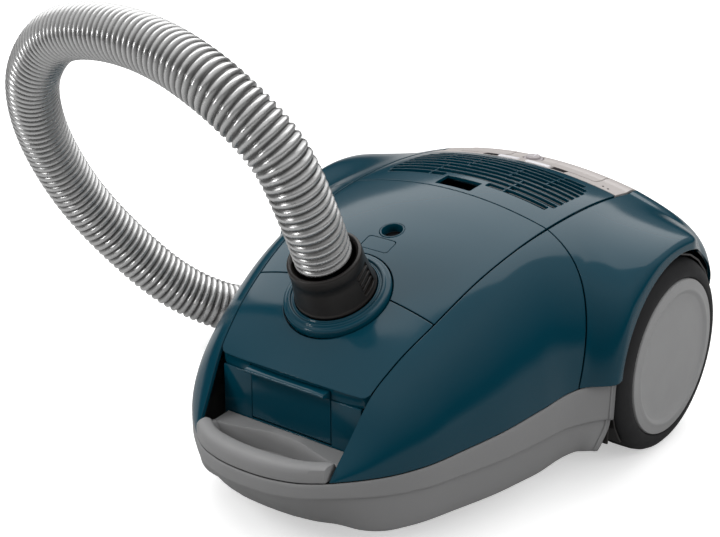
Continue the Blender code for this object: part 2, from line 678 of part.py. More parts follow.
# ---------------------------------------------------------------- wheels and caster
def make_wheel(tag, side):
    axis = "X" if side > 0 else "-X"
    centre = (0, WHEEL_Y, WHEEL_Z)
    hub = [(0, HUB_FACE_X - 2.2), (HUB_R - 9, HUB_FACE_X - 2.0), (HUB_R - 5, HUB_FACE_X - .2),
           (HUB_R - 1.5, HUB_FACE_X), (HUB_R, HUB_FACE_X - 1.2), (HUB_R, TYRE_IN_X + 3),
           (HUB_R - 3, TYRE_IN_X + 3), (HUB_R - 3, HUB_FACE_X - 5), (AXLE_R + 4, HUB_FACE_X - 5),
           (AXLE_R + 4, TYRE_IN_X + 2), (AXLE_R + .08, TYRE_IN_X + 2), (AXLE_R + .08, HUB_FACE_X - 4),
           (0, HUB_FACE_X - 4)]
    turned("wheel_hub_" + tag, hub, centre, axis, HUB_GREY, 32)
    tyre = [(HUB_R + .3, HUB_FACE_X - 1.6), (TYRE_R - 5.5, HUB_FACE_X - 1.8),
            (TYRE_R - .9, TYRE_OUT_X - .6),
            (TYRE_R, TYRE_OUT_X - 3.5), (TYRE_R, TYRE_IN_X + 5), (TYRE_R - 3.5, TYRE_IN_X),
            (HUB_R + .3, TYRE_IN_X)]
    turned("tyre_" + tag, tyre, centre, axis, RUBBER, 32)
    rod("wheel_axle_" + tag, (side * 128.6, WHEEL_Y, WHEEL_Z), AXLE_R, 32, "X", STEEL, 24)


def make_wheel_liner(tag, side):
    """Arch-shaped well: a drum open towards the wheel, with its lower part cut away."""
    axis = "X" if side > 0 else "-X"
    rim, inner, outer = TYRE_R + 2.8, WELL_X + .5, 140.0
    profile = [(0, inner + 1.4), (rim - 1.4, inner + 1.4), (rim - 1.4, outer), (rim, outer), (rim, inner),
               (0, inner)]
    obj = turned("wheel_liner_" + tag, profile, (0, WHEEL_Y, WHEEL_Z), axis, BLACK, 28)
    cut(obj, block("liner_floor_" + tag, (-200, -20, -60), (200, 240, 24)))
    return obj


def make_caster():
    z = ROLLER_R
    y = CASTER_Y + 5
    turned("caster_roller", [(ROLLER_R, 6), (ROLLER_R, -6), (1.85, -6), (1.85, 6)], (0, y, z), "X",
           GREY, 24)
    rod("caster_pin", (0, y, z), 1.8, 19, "X", STEEL, 16)
    fork = turned("caster_fork", [(0, BASE_Z - .4), (13, BASE_Z - .4), (13, BASE_Z - 2.6),
                                  (0, BASE_Z - 2.6)], (0, CASTER_Y, 0), "Z", BLACK, 24)
    for tag, x in (("a", -9.2), ("b", 7.0)):
        arm = block("fork_arm_" + tag, (x, y - 4.5, z - 3.5), (x + 2.2, y + 4.5, BASE_Z - 1.5))
        cut(fork, arm, "UNION")
    cut(fork, rod("fork_pin_hole", (0, y, z), 1.85, 30, "X", sides=16))
    return fork


# ---------------------------------------------------------------- inside
def make_inside():
    divider = prism("bag_chamber_wall", [(-98, 24), (98, 24), (101, 84), (88, 128), (72, 150), (-72, 150),
                                         (-88, 128), (-101, 84)], 34, 36.4, BLACK, "XZ")
    cut(divider, rod("intake_hole", (0, 35, MOTOR_Z), 26, 20, "Y", sides=32))
    block("motor_filter", (-38, 28, 62), (38, 33.6, 122), FOAM)
    housing = [(MOTOR_R, 42), (MOTOR_R, -42), (20, -42), (20, -40), (MOTOR_R - 2.4, -40),
               (MOTOR_R - 2.4, 40),
               (16, 40), (16, 42)]
    turned("motor_housing", housing, (0, MOTOR_Y, MOTOR_Z), "Y", STEEL, 24)
    rotor = [(0, 38), (4, 38), (4, 20), (28, 20), (28, -12), (4, -12), (4, -36), (0, -36)]
    turned("motor_rotor", rotor, (0, MOTOR_Y, MOTOR_Z), "Y", COPPER, 20)
    turned("fan_impeller", [(42, -24), (42, -33), (4.35, -33), (4.35, -24)], (0, MOTOR_Y, MOTOR_Z), "Y",
           STEEL, 24)
    for tag, shift in (("front", -37), ("rear", 37)):
        turned("motor_mount_" + tag, [(MOTOR_R + 6, 5), (MOTOR_R + 6, -5), (MOTOR_R + .3, -5),
                                      (MOTOR_R + .3, 5)], (0, MOTOR_Y + shift, MOTOR_Z), "Y", RUBBER, 24)
    reel = [(REEL_R, 15), (REEL_R, 13), (18, 13), (18, -13), (REEL_R, -13), (REEL_R, -15), (4.3, -15),
            (4.3, 15)]
    turned("cord_reel", reel, (REEL_X, REEL_Y, REEL_Z), "X", GREY, 24)
    rod("reel_axle", (REEL_X + 1, REEL_Y, REEL_Z), 4.2, 40, "X", STEEL, 20)
    block("control_board", (-48, 137, 74), (48, 138.6, 126), BOARD)
    block("exhaust_filter", (-58, 58, 152), (58, 122, 161), FOAM)
    block("pedal_shelf", (-62, 139, SHELF_Z - 3), (62, 166, SHELF_Z), BLACK)
    bag = block("dust_bag", (-62, -118, 27), (62, 20, 84), PAPER)
    soft = bag.modifiers.new("rounding", "BEVEL")
    soft.width = 22 * MM
    soft.segments = 3
    plate = block("bag_card", (-40, -30, -47.5), (40, 30, -44.6), CARD)
    holder = block("bag_holder", (-66, -34, -44.1), (66, 34, -41), GREY)
    for obj in (plate, holder):
        hole_r = 17 if obj is plate else 24
        hole = rod(obj.name + "_hole", ring_place(0, 0, -44), hole_r, 20, "RING", sides=28)
        centre = obj.matrix_world.translation / MM
        obj.matrix_world = (Matrix.Translation(Vector(ring_place(centre.x, centre.y, centre.z)) * MM)
                            @ AXIS_TURN["RING"])
        cut(obj, hole)


def make_all():
    make_base()
    make_handle()
    make_recess_wall()
    make_latch()
    rod("latch_pin", (0, WALL_Y + 2.2, 69), 1.5, 70, "X", STEEL, 12)
    for tag, side in (("left", 1), ("right", -1)):
        make_side_panel("side_panel_" + tag, side)
        make_fender("wheel_arch_" + tag, side)
        make_wheel(tag, side)
        make_wheel_liner(tag, side)
    make_front_lid()
    make_accessory_lid()
    make_push_button()
    make_indicator()
    make_accessory_tray()
    make_grille()
    make_rear_cover()
    make_pedal("rewind_pedal", *PEDAL_LEFT)
    make_pedal("switch_pedal", *PEDAL_RIGHT)
    for tag, span in (("rewind", PEDAL_LEFT), ("switch", PEDAL_RIGHT)):
        middle, y = sum(span) / 2, (PEDAL_Y0 + PEDAL_Y1) / 2
        roof = min(deck_z(span[0], PEDAL_Y1), deck_z(span[1], PEDAL_Y1)) - 3.6
        make_spring(tag + "_spring", middle, y, SHELF_Z + .3, roof, 5, 5, .7)
    z = deck_z(0, KNOB_Y)
    turned("power_knob", [(0, z + 3), (KNOB_R, z + 3), (KNOB_R, z - 8), (0, z - 8)], (0, KNOB_Y, 0),
           "Z", GREY, 20)
    turned("cord_outlet", [(CORD_R, 187), (CORD_R, 176), (3.6, 176), (3.6, 187)], (CORD_X, 0, CORD_Z), "Y",
           BLACK, 16)
    make_inlet_ring()
    make_collar()
    make_inlet_seal()
    make_caster()
    make_inside()
    hose = spline_points(HOSE_ROUTE, HOSE_STEP)
    tube("hose", hose, HOSE_R, HOSE_GREY, 2)
    make_hose_end()


make_all()
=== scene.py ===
"""Looks for the cylinder vacuum cleaner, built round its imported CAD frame.

Sizes in the tables are millimetres, in the frame's own axes: +Z up, the front towards -Y, the
machine's left side towards +X, origin on the floor under the middle of the body.
"""
import math

import bmesh
import bpy
import numpy as np
from mathutils import Matrix, Vector


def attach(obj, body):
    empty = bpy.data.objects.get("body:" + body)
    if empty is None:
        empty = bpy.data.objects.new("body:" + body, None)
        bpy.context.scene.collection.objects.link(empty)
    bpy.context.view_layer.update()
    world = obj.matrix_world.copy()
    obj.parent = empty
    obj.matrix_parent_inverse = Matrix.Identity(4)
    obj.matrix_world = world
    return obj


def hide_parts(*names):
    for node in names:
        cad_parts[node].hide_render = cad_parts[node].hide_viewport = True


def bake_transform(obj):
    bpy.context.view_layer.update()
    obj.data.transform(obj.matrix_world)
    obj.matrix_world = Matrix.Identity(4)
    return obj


MM = 0.001
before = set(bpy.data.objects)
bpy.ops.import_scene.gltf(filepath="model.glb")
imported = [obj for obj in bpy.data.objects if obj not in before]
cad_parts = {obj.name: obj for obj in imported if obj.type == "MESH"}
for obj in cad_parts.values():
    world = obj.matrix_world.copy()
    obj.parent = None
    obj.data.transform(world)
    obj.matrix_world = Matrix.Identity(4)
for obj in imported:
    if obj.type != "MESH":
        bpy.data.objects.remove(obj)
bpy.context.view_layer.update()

# ---------------------------------------------------------------- camera
camera_data = bpy.data.cameras.new("camera")
camera_data.lens = 88.05
camera_data.sensor_width = 36.0
camera_data.clip_start, camera_data.clip_end = 0.05, 20.0
camera = bpy.data.objects.new("camera", camera_data)
camera.location = (0.6388, -0.9140, 0.5961)
camera.rotation_euler = (math.radians(67.455), 0, math.radians(36.912))
bpy.context.scene.collection.objects.link(camera)
bpy.context.scene.camera = camera
bpy.context.scene.view_settings.view_transform = "Standard"

# ---------------------------------------------------------------- the body's shape
HALF_LENGTH, WALL, GAP = 187.0, 2.2, 0.5
WHEEL_Y, WHEEL_Z, TYRE_R = 102.3, 69.75, 69.75
HUB_FACE_X, TYRE_OUT_X, TYRE_IN_X = 149.0, 146.0, 116.0
ARCH_Y, ARCH_Z, ARCH_R, LIP, LIP_X = 103.3, 72.5, 73.8, 6.0, 147.4
WELL_X, HANDLE_Z = 110.0, 59.3
LID_FRONT_Y, LID_BOW, CROSS_SEAM_Y, LID_HINGE_Y, GRILLE_REAR_Y = -140.5, 5.2, -80.6, 38.0, 131.0
RING_Y, RING_Z, RING_TILT, RING_R = -88.1, 146.1, 25.0, 36.6
HOSE_R = 19.25
WALL_Y, LATCH_HALF = -135.0, 32.2
TAIL_Y, TAIL_POWER, RIM_RISE = 150.0, 2.6, 0.1
BUTTON = (11.0, -50.0, -38.0, 20.0)     # half width, front, back, tilt in degrees
INDICATOR_Y, INDICATOR_R = -28.0, 8.6
SLOT_Y, SLOT_PITCH, SLOT_WIDE = 56.4, 7.3, 6.0
SLOT_HALF = (66, 69, 69.5, 69.5, 69.5, 69.5, 69, 67, 62)
TRIM_SECTION = ((132.6, .1), (133.0, .8), (136.2, 1.1), (136.8, .1))    # y, height over the cover
PEDALS = {"rewind_pedal": (19.0, 58.0), "switch_pedal": (-58.0, -19.0)}
PEDAL_Y0, PEDAL_Y1, KNOB_Y, KNOB_R = 140.0, 160.0, 150.0, 7.5
CORD_X, CORD_Z, CORD_R = -40.0, 112.0, 6.0

TOP_Z = [(-150, 97), (-140.5, 107.9), (-135.3, 112.3), (-115, 130), (-88, 146.3), (-45, 165.4),
         (0, 176.3), (38, 180.7), (80, 182), (110, 179.6), (131, 175.4), (150, 172)]
SEAM_Z = [(-168.1, 59.4), (-152, 82), (-135.3, 105.5), (-115, 121.8), (-80.6, 139.7), (-45, 154.2),
          (0, 165), (38, 169.4), (80, 170.3), (110, 168.5), (131, 165.8), (150, 162.5)]
SEAM_X = [(-168.1, 54), (-135.3, 60.3), (-80.6, 71), (-20, 77), (38, 79.7), (90, 80.6), (131, 80.3),
          (187, 77)]
RIM_X = [(-168.1, 54), (-155, 69), (-141, 82), (-123, 93.5), (-92, 105), (-63, 114), (-28, 121),
         (6, 128), (22, 137), (33, 145), (60, 147), (102, 147), (150, 146.5)]
SHOULDER = [(-168, .50), (-80, .50), (0, .56), (38, .64), (102, .80), (187, .75)]
FLANK = [(-168, .50), (-80, .48), (38, .50), (102, .66), (187, .60)]
SLOPE = [(-168, 40), (-135, 31), (-80, 22), (38, 17), (102, 14), (187, 18)]

HOSE_ROUTE = [(0, -101, 173), (0, -117, 208), (-12, -132, 251), (-51, -140, 285), (-110, -132, 300),
              (-174, -120, 298), (-228, -107, 281), (-268, -92, 243), (-291, -66, 193),
              (-293, -35, 138), (-276, -6, 91), (-248, 24, 50), (-219, 57, 26), (-207, 97, 19.8),
              (-206, 150, 19.4), (-211, 210, 19.4), (-217, 270, 19.4), (-206, 322, 19.4),
              (-173, 364, 19.4), (-127, 388, 19.6), (-84, 392, 21), (-53, 385, 22.4),
              (-34, 375, 22.4)]


def curve(points):
    """A smooth function through (x, y) points: cubic pieces with averaged slopes."""
    xs = [p[0] for p in points]
    ys = [p[1] for p in points]
    steps = [(ys[i + 1] - ys[i]) / (xs[i + 1] - xs[i]) for i in range(len(xs) - 1)]
    slopes = [steps[0]]
    for i in range(1, len(xs) - 1):
        before, after = xs[i] - xs[i - 1], xs[i + 1] - xs[i]
        slopes.append((steps[i - 1] * after + steps[i] * before) / (before + after))
    slopes.append(steps[-1])

    def value(x):
        i = 0
        while i < len(xs) - 2 and x > xs[i + 1]:
            i += 1
        h = xs[i + 1] - xs[i]
        s = (x - xs[i]) / h
        return ((2 * s**3 - 3 * s**2 + 1) * ys[i] + (s**3 - 2 * s**2 + s) * h * slopes[i]
                + (3 * s**2 - 2 * s**3) * ys[i + 1] + (s**3 - s**2) * h * slopes[i + 1])
    return value


top_line, seam_line, seam_half = curve(TOP_Z), curve(SEAM_Z), curve(SEAM_X)
rim_line, shoulder, flank, slope = curve(RIM_X), curve(SHOULDER), curve(FLANK), curve(SLOPE)


def smooth(x):
    x = min(max(x, 0.0), 1.0)
    return x * x * (3 - 2 * x)


def rim_z(y):
    return HANDLE_Z + RIM_RISE * (max(y, -168.1) + 168.1)


def tail(y):
    if y <= TAIL_Y:
        return 1.0
    s = min((y - TAIL_Y) / (HALF_LENGTH - TAIL_Y), 1.0)
    return (1 - s**TAIL_POWER) ** (1 / TAIL_POWER)


def top_z(y):
    return rim_z(y) + (top_line(min(y, TAIL_Y)) - rim_z(y)) * tail(y)


def seam_z(y):
    return rim_z(y) + (seam_line(min(y, TAIL_Y)) - rim_z(y)) * tail(y)


def rim_x(y):
    half = seam_half(y)
    return half + (rim_line(min(y, TAIL_Y)) - half) * tail(y)


def deck_point(y, s):
    """Point of the top surface; s runs from -1 at the right-hand seam to +1 at the left."""
    return (s * seam_half(y), y, top_z(y) - (top_z(y) - seam_z(y)) * s * s)


def deck_z(x, y):
    return deck_point(y, x / seam_half(y))[2]


def side_point(y, t, side=1):
    """Point of the flank; t runs from 0 at the panel seam to 1 at the base rim."""
    x0, z0, x3, z3 = seam_half(y), seam_z(y), rim_x(y), rim_z(y)
    wide, tall = x3 - x0, z0 - z3
    x1, z1 = x0 + shoulder(y) * wide, z0 - shoulder(y) * wide * math.tan(math.radians(slope(y)))
    x2, z2 = x3 - 0.06 * tall * flank(y), z3 + flank(y) * tall
    a, b, c, d = (1 - t)**3, 3 * (1 - t)**2 * t, 3 * (1 - t) * t * t, t**3
    return [side * (a * x0 + b * x1 + c * x2 + d * x3), y, a * z0 + b * z1 + c * z2 + d * z3]


def panel_seam_y(t):
    return 38.0 - 32.0 * t


def spread(low, high, count):
    return [low + (high - low) * i / (count - 1) for i in range(count)]


# ---------------------------------------------------------------- materials
def new_material(name):
    mat = bpy.data.materials.new(name)
    mat.use_nodes = True
    tree = mat.node_tree
    return mat, tree, tree.nodes["Principled BSDF"]


def noise(tree, scale, detail=2.0, roughness=0.5):
    """Noise in the object's own coordinates; scale counts features per metre."""
    place = tree.nodes.new("ShaderNodeTexCoord")
    node = tree.nodes.new("ShaderNodeTexNoise")
    node.inputs["Scale"].default_value = scale
    node.inputs["Detail"].default_value = detail
    node.inputs["Roughness"].default_value = roughness
    tree.links.new(place.outputs["Object"], node.inputs["Vector"])
    return node


def ramp(tree, source, low, high, start=0.3, end=0.7):
    node = tree.nodes.new("ShaderNodeMapRange")
    node.inputs["From Min"].default_value = start
    node.inputs["From Max"].default_value = end
    node.inputs["To Min"].default_value = low
    node.inputs["To Max"].default_value = high
    tree.links.new(source, node.inputs["Value"])
    return node.outputs["Result"]


def mix(tree, factor, a, b):
    node = tree.nodes.new("ShaderNodeMix")
    node.data_type = "RGBA"
    node.inputs["A"].default_value = (*a, 1)
    node.inputs["B"].default_value = (*b, 1)
    tree.links.new(factor, node.inputs["Factor"])
    return node.outputs["Result"]


def bump(tree, height, distance, normal=None):
    node = tree.nodes.new("ShaderNodeBump")
    node.inputs["Strength"].default_value = 1.0
    node.inputs["Distance"].default_value = distance
    tree.links.new(height, node.inputs["Height"])
    if normal:
        tree.links.new(normal, node.inputs["Normal"])
    return node.outputs["Normal"]


def plastic(name, colour, roughness, grain=0.0, grain_scale=2600, ripple=0.0, edge=0.5, specular=0.5):
    """Moulded plastic: slight mottling, uneven gloss, fine grain or ripple, rounded edges."""
    mat, tree, shader = new_material(name)
    cloud = noise(tree, 14, 3)
    dark, light = (tuple(c * share for c in colour) for share in (0.95, 1.05))
    tree.links.new(mix(tree, cloud.outputs["Fac"], dark, light), shader.inputs["Base Color"])
    wear = noise(tree, 60, 4, 0.6)
    tree.links.new(ramp(tree, wear.outputs["Fac"], roughness * 0.88, roughness * 1.12),
                   shader.inputs["Roughness"])
    shader.inputs["Specular IOR Level"].default_value = specular
    normal = None
    if edge:
        rounded = tree.nodes.new("ShaderNodeBevel")
        rounded.samples = 6
        rounded.inputs["Radius"].default_value = edge * MM
        normal = rounded.outputs["Normal"]
    if ripple:
        normal = bump(tree, noise(tree, 130, 2).outputs["Fac"], ripple * MM, normal)
    if grain:
        normal = bump(tree, noise(tree, grain_scale, 2).outputs["Fac"], grain * MM, normal)
    if normal:
        tree.links.new(normal, shader.inputs["Normal"])
    return mat


TEAL = plastic("teal_gloss", (0.0008, 0.040, 0.064), 0.13, ripple=0.006, edge=0.8, specular=0.32)
# darker, rougher copy of the teal for the floor under the exhaust slots: painted shade in the recess
TEAL_PAINTED_SHADE = plastic("teal_painted_shade", (0.001, 0.024, 0.038), 0.30, ripple=0.01, edge=0.4, specular=0.3)
GREY = plastic("grey_textured", (0.240, 0.240, 0.242), 0.50, grain=0.02, edge=0.8, specular=0.35)
HUB_GREY = plastic("hub_satin", (0.295, 0.295, 0.297), 0.40, grain=0.012, edge=0.5, specular=0.35)
LIGHT = plastic("light_satin", (0.46, 0.425, 0.41), 0.34, grain=0.008, edge=0.5)
KNOB = plastic("knob_satin", (0.36, 0.33, 0.34), 0.36, grain=0.008, edge=0.4)
TRIM = plastic("trim_silver", (0.82, 0.81, 0.84), 0.16, grain=0.002, edge=0.3)
BLACK = plastic("black_satin", (0.013, 0.011, 0.010), 0.34, grain=0.01, edge=0.8, specular=0.4)
# near-black: the lamp dots' own colour, and painted shade where it fills the indicator well's foot, the finger
# pocket's floor and the rear windows
BLACK_AND_PAINTED_SHADE = plastic("black_and_painted_shade", (0.004, 0.004, 0.005), 0.6, grain=0.01, edge=0, specular=0.1)
RUBBER = plastic("tyre_rubber", (0.021, 0.021, 0.022), 0.62, grain=0.03, grain_scale=1500, edge=0.8,
                 specular=0.2)
BOARD = plastic("board_green", (0.02, 0.16, 0.06), 0.4, grain=0.01, edge=0.3)


def hose_material():
    """Silver-grey ribs whose valleys are painted darker as shade; "rib" is 0 in a valley and 1 on a ridge."""
    mat, tree, shader = new_material("hose_silver")
    rib = tree.nodes.new("ShaderNodeAttribute")
    rib.attribute_name = "rib"
    shade = ramp(tree, rib.outputs["Fac"], 0.0, 1.0, 0.05, 0.95)
    # valleys painted dark, ridges light: painted shade in the hose's creases
    tree.links.new(mix(tree, shade, (0.10, 0.099, 0.098), (0.66, 0.66, 0.658)),
                   shader.inputs["Base Color"])
    streaks = noise(tree, 240, 3)
    tree.links.new(ramp(tree, streaks.outputs["Fac"], 0.24, 0.34), shader.inputs["Roughness"])
    shader.inputs["Metallic"].default_value = 0.85
    tree.links.new(bump(tree, noise(tree, 700, 2).outputs["Fac"], 0.003 * MM), shader.inputs["Normal"])
    return mat


def steel_material(name, colour, roughness):
    mat, tree, shader = new_material(name)
    brushed = noise(tree, 300, 4)
    tree.links.new(mix(tree, brushed.outputs["Fac"], tuple(c * .85 for c in colour), colour),
                   shader.inputs["Base Color"])
    tree.links.new(ramp(tree, brushed.outputs["Fac"], roughness * .8, roughness * 1.2),
                   shader.inputs["Roughness"])
    shader.inputs["Metallic"].default_value = 1.0
    tree.links.new(bump(tree, brushed.outputs["Fac"], 0.02 * MM), shader.inputs["Normal"])
    return mat


def fibre_material(name, colour, scale):
    """Matt fibrous or porous stuff: bag cloth, foam, pressed card."""
    mat, tree, shader = new_material(name)
    fibres = noise(tree, scale, 6, 0.7)
    tree.links.new(mix(tree, ramp(tree, fibres.outputs["Fac"], 0, 1), tuple(c * .7 for c in colour),
                       colour), shader.inputs["Base Color"])
    shader.inputs["Roughness"].default_value = 0.95
    tree.links.new(bump(tree, fibres.outputs["Fac"], 0.3 * MM), shader.inputs["Normal"])
    return mat


HOSE_WITH_PAINTED_SHADE = hose_material()
STEEL = steel_material("plain_steel", (0.60, 0.60, 0.61), 0.3)
COPPER = steel_material("motor_copper", (0.62, 0.32, 0.18), 0.4)
CLOTH = fibre_material("bag_cloth", (0.78, 0.74, 0.64), 900)
FOAM = fibre_material("filter_foam", (0.05, 0.055, 0.06), 700)
CARD = fibre_material("bag_card", (0.45, 0.33, 0.20), 500)

# ---------------------------------------------------------------- mesh helpers
RING_TURN = Matrix.Rotation(math.radians(RING_TILT), 4, "X")
TURNS = {
    "Z": Matrix.Identity(4),
    "X": Matrix.Rotation(math.radians(90), 4, "Y"),
    "-X": Matrix.Rotation(math.radians(-90), 4, "Y"),
    "Y": Matrix.Rotation(math.radians(-90), 4, "X"),
    "RING": RING_TURN,
    "CUFF": Matrix.Rotation(math.atan2(HOSE_ROUTE[-1][1] - HOSE_ROUTE[-2][1],
                                       HOSE_ROUTE[-1][0] - HOSE_ROUTE[-2][0]), 4, "Z")
            @ Matrix.Rotation(math.radians(90), 4, "Y"),
}


def ring_place(x, along_y, height):
    """World place of a point given across, back along and above the tilted inlet ring."""
    turn = math.radians(RING_TILT)
    return (x, RING_Y + along_y * math.cos(turn) - height * math.sin(turn),
            RING_Z + along_y * math.sin(turn) + height * math.cos(turn))


def new_object(name, points, faces, mat=None):
    mesh = bpy.data.meshes.new(name)
    mesh.from_pydata([Vector(p) * MM for p in points], [], faces)
    mesh.update()
    obj = bpy.data.objects.new(name, mesh)
    bpy.context.scene.collection.objects.link(obj)
    if mat:
        mesh.materials.append(mat)
    return obj


def face_outwards(obj):
    """Makes the faces consistent and outward."""
    bm = bmesh.new()
    bm.from_mesh(obj.data)
    bmesh.ops.recalc_face_normals(bm, faces=bm.faces[:])
    bm.to_mesh(obj.data)
    bm.free()


def bake(obj, sharp=38):
    """Turns the modifiers into plain mesh, removes its cutters and shades it smooth."""
    bpy.context.view_layer.update()
    cutters = [m.object for m in obj.modifiers if m.type == "BOOLEAN"]
    mesh = bpy.data.meshes.new_from_object(obj.evaluated_get(bpy.context.evaluated_depsgraph_get()))
    obj.modifiers.clear()
    obj.data = mesh
    for cutter in cutters:
        bpy.data.objects.remove(cutter)
    mesh.shade_smooth()
    mesh.set_sharp_from_angle(angle=math.radians(sharp))
    return obj


def place(obj, body, nodes=(), slot=None):
    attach(obj, body)
    if nodes:
        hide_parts(*nodes)
    return obj


def join(objects, name):
    """Joins baked objects into the first one."""
    bm = bmesh.new()
    materials = []
    for obj in objects:
        mesh = obj.data.copy()
        mesh.transform(obj.matrix_world)
        offset = []
        for mat in mesh.materials:
            if mat not in materials:
                materials.append(mat)
            offset.append(materials.index(mat))
        first = len(bm.faces)
        bm.from_mesh(mesh)
        bm.faces.ensure_lookup_table()
        for face in bm.faces[first:]:
            face.material_index = offset[min(face.material_index, len(offset) - 1)] if offset else 0
        bpy.data.meshes.remove(mesh)
    mesh = bpy.data.meshes.new(name)
    for mat in materials:
        mesh.materials.append(mat)
    bm.to_mesh(mesh)
    bm.free()
    for obj in objects:
        bpy.data.objects.remove(obj)
    made = bpy.data.objects.new(name, mesh)
    bpy.context.scene.collection.objects.link(made)
    return made


def sheet(name, rows, mat, inside=(0, 0, 90), wall=WALL):
    """A moulded wall through a grid of points, thickened towards `inside`."""
    wide = len(rows[0])
    points = [p for row in rows for p in row]
    faces = [(i * wide + j, i * wide + j + 1, (i + 1) * wide + j + 1, (i + 1) * wide + j)
             for i in range(len(rows) - 1) for j in range(wide - 1)]
    obj = new_object(name, points, faces, mat)
    bm = bmesh.new()
    bm.from_mesh(obj.data)
    middle = bm.faces[:][len(bm.faces) // 2]
    bm.normal_update()
    if middle.normal.dot(middle.calc_center_median() - Vector(inside) * MM) < 0:
        bmesh.ops.reverse_faces(bm, faces=bm.faces[:])
    bm.to_mesh(obj.data)
    bm.free()
    solid = obj.modifiers.new("wall", "SOLIDIFY")
    solid.thickness = wall * MM
    solid.offset = -1
    return obj


def cut(obj, cutter, operation="DIFFERENCE"):
    cutter.hide_render = True
    modifier = obj.modifiers.new(cutter.name, "BOOLEAN")
    modifier.operation = operation
    modifier.object = cutter
    modifier.solver = "EXACT"


def block(name, low, high, mat=None, round_by=0.0, tilt=0.0, turn_about=None, segments=3):
    """A box between two corners with rounded edges; tilt turns it about X through turn_about."""
    x0, y0, z0 = low
    x1, y1, z1 = high
    corners = [(x, y, z) for x in (x0, x1) for y in (y0, y1) for z in (z0, z1)]
    faces = [(0, 1, 3, 2), (4, 6, 7, 5), (0, 4, 5, 1), (2, 3, 7, 6), (0, 2, 6, 4), (1, 5, 7, 3)]
    obj = new_object(name, corners, faces, mat)
    if tilt:
        pivot = Vector(turn_about or [(a + b) / 2 for a, b in zip(low, high)]) * MM
        obj.data.transform(Matrix.Translation(pivot) @ Matrix.Rotation(math.radians(tilt), 4, "X")
                           @ Matrix.Translation(-pivot))
    if round_by:
        bm = bmesh.new()
        bm.from_mesh(obj.data)
        bmesh.ops.bevel(bm, geom=bm.edges[:], offset=round_by * MM, segments=segments, profile=0.5,
                        affect="EDGES")
        bm.to_mesh(obj.data)
        bm.free()
    return obj


def rod(name, centre, radius, length, axis, mat=None, sides=64):
    bm = bmesh.new()
    bmesh.ops.create_cone(bm, cap_ends=True, segments=sides, radius1=radius * MM, radius2=radius * MM,
                          depth=length * MM)
    mesh = bpy.data.meshes.new(name)
    bm.to_mesh(mesh)
    bm.free()
    if mat:
        mesh.materials.append(mat)
    obj = bpy.data.objects.new(name, mesh)
    bpy.context.scene.collection.objects.link(obj)
    mesh.transform(Matrix.Translation(Vector(centre) * MM) @ TURNS[axis])
    return obj


def turned(name, profile, centre, axis, mat, steps=96, closed=True):
    """A turned piece from (radius, height) points, its outline running round its section."""
    points, faces = [], []
    for k in range(steps):
        a = 2 * math.pi * k / steps
        points += [(r * math.cos(a), r * math.sin(a), z) for r, z in profile]
    n = len(profile)
    for k in range(steps):
        m = (k + 1) % steps
        for i in range(n if closed else n - 1):
            j = (i + 1) % n
            faces.append((k * n + i, m * n + i, m * n + j, k * n + j))
    obj = new_object(name, points, faces, mat)
    bm = bmesh.new()
    bm.from_mesh(obj.data)
    bmesh.ops.remove_doubles(bm, verts=bm.verts[:], dist=0.00001)
    bmesh.ops.recalc_face_normals(bm, faces=bm.faces[:])
    bm.to_mesh(obj.data)
    bm.free()
    obj.data.transform(Matrix.Translation(Vector(centre) * MM) @ TURNS[axis])
    return obj


def soften(profile, rounds=2):
    """Rounds a profile's corners by cutting them repeatedly, keeping its ends."""
    for _ in range(rounds):
        out = [profile[0]]
        for a, b in zip(profile, profile[1:]):
            out.append((a[0] * .75 + b[0] * .25, a[1] * .75 + b[1] * .25))
            out.append((a[0] * .25 + b[0] * .75, a[1] * .25 + b[1] * .75))
        out.append(profile[-1])
        profile = out
    return profile


# ---------------------------------------------------------------- hose
def hose_line(step=1.0):
    """Points and lengths along the smooth curve through HOSE_ROUTE."""
    pts = [np.array(p, float) for p in HOSE_ROUTE]
    pts = [2 * pts[0] - pts[1]] + pts + [2 * pts[-1] - pts[-2]]
    dense = []
    for a, b, c, d in zip(pts, pts[1:], pts[2:], pts[3:]):
        for i in range(40):
            s = i / 40
            dense.append(0.5 * (2 * b + (c - a) * s + (2 * a - 5 * b + 4 * c - d) * s * s
                                + (3 * b - a - 3 * c + d) * s**3))
    dense.append(pts[-2])
    dense = np.array(dense)
    length = np.concatenate([[0], np.cumsum(np.linalg.norm(np.diff(dense, axis=0), axis=1))])
    count = int(length[-1] / step)
    want = np.linspace(0, length[-1], count + 1)
    return np.stack([np.interp(want, length, dense[:, i]) for i in range(3)], 1), want


def carried_frames(line):
    """Two directions square to the line at each point, carried along without twisting."""
    ahead = np.gradient(line, axis=0)
    ahead /= np.linalg.norm(ahead, axis=1)[:, None]
    side = [np.cross(ahead[0], (0, 0, 1.0))]
    if np.linalg.norm(side[0]) < 1e-6:
        side = [np.array((1.0, 0, 0))]
    side[0] /= np.linalg.norm(side[0])
    for i in range(1, len(line)):
        s = side[-1] - ahead[i] * (side[-1] @ ahead[i])
        side.append(s / np.linalg.norm(s))
    side = np.array(side)
    return side, np.cross(ahead, side)


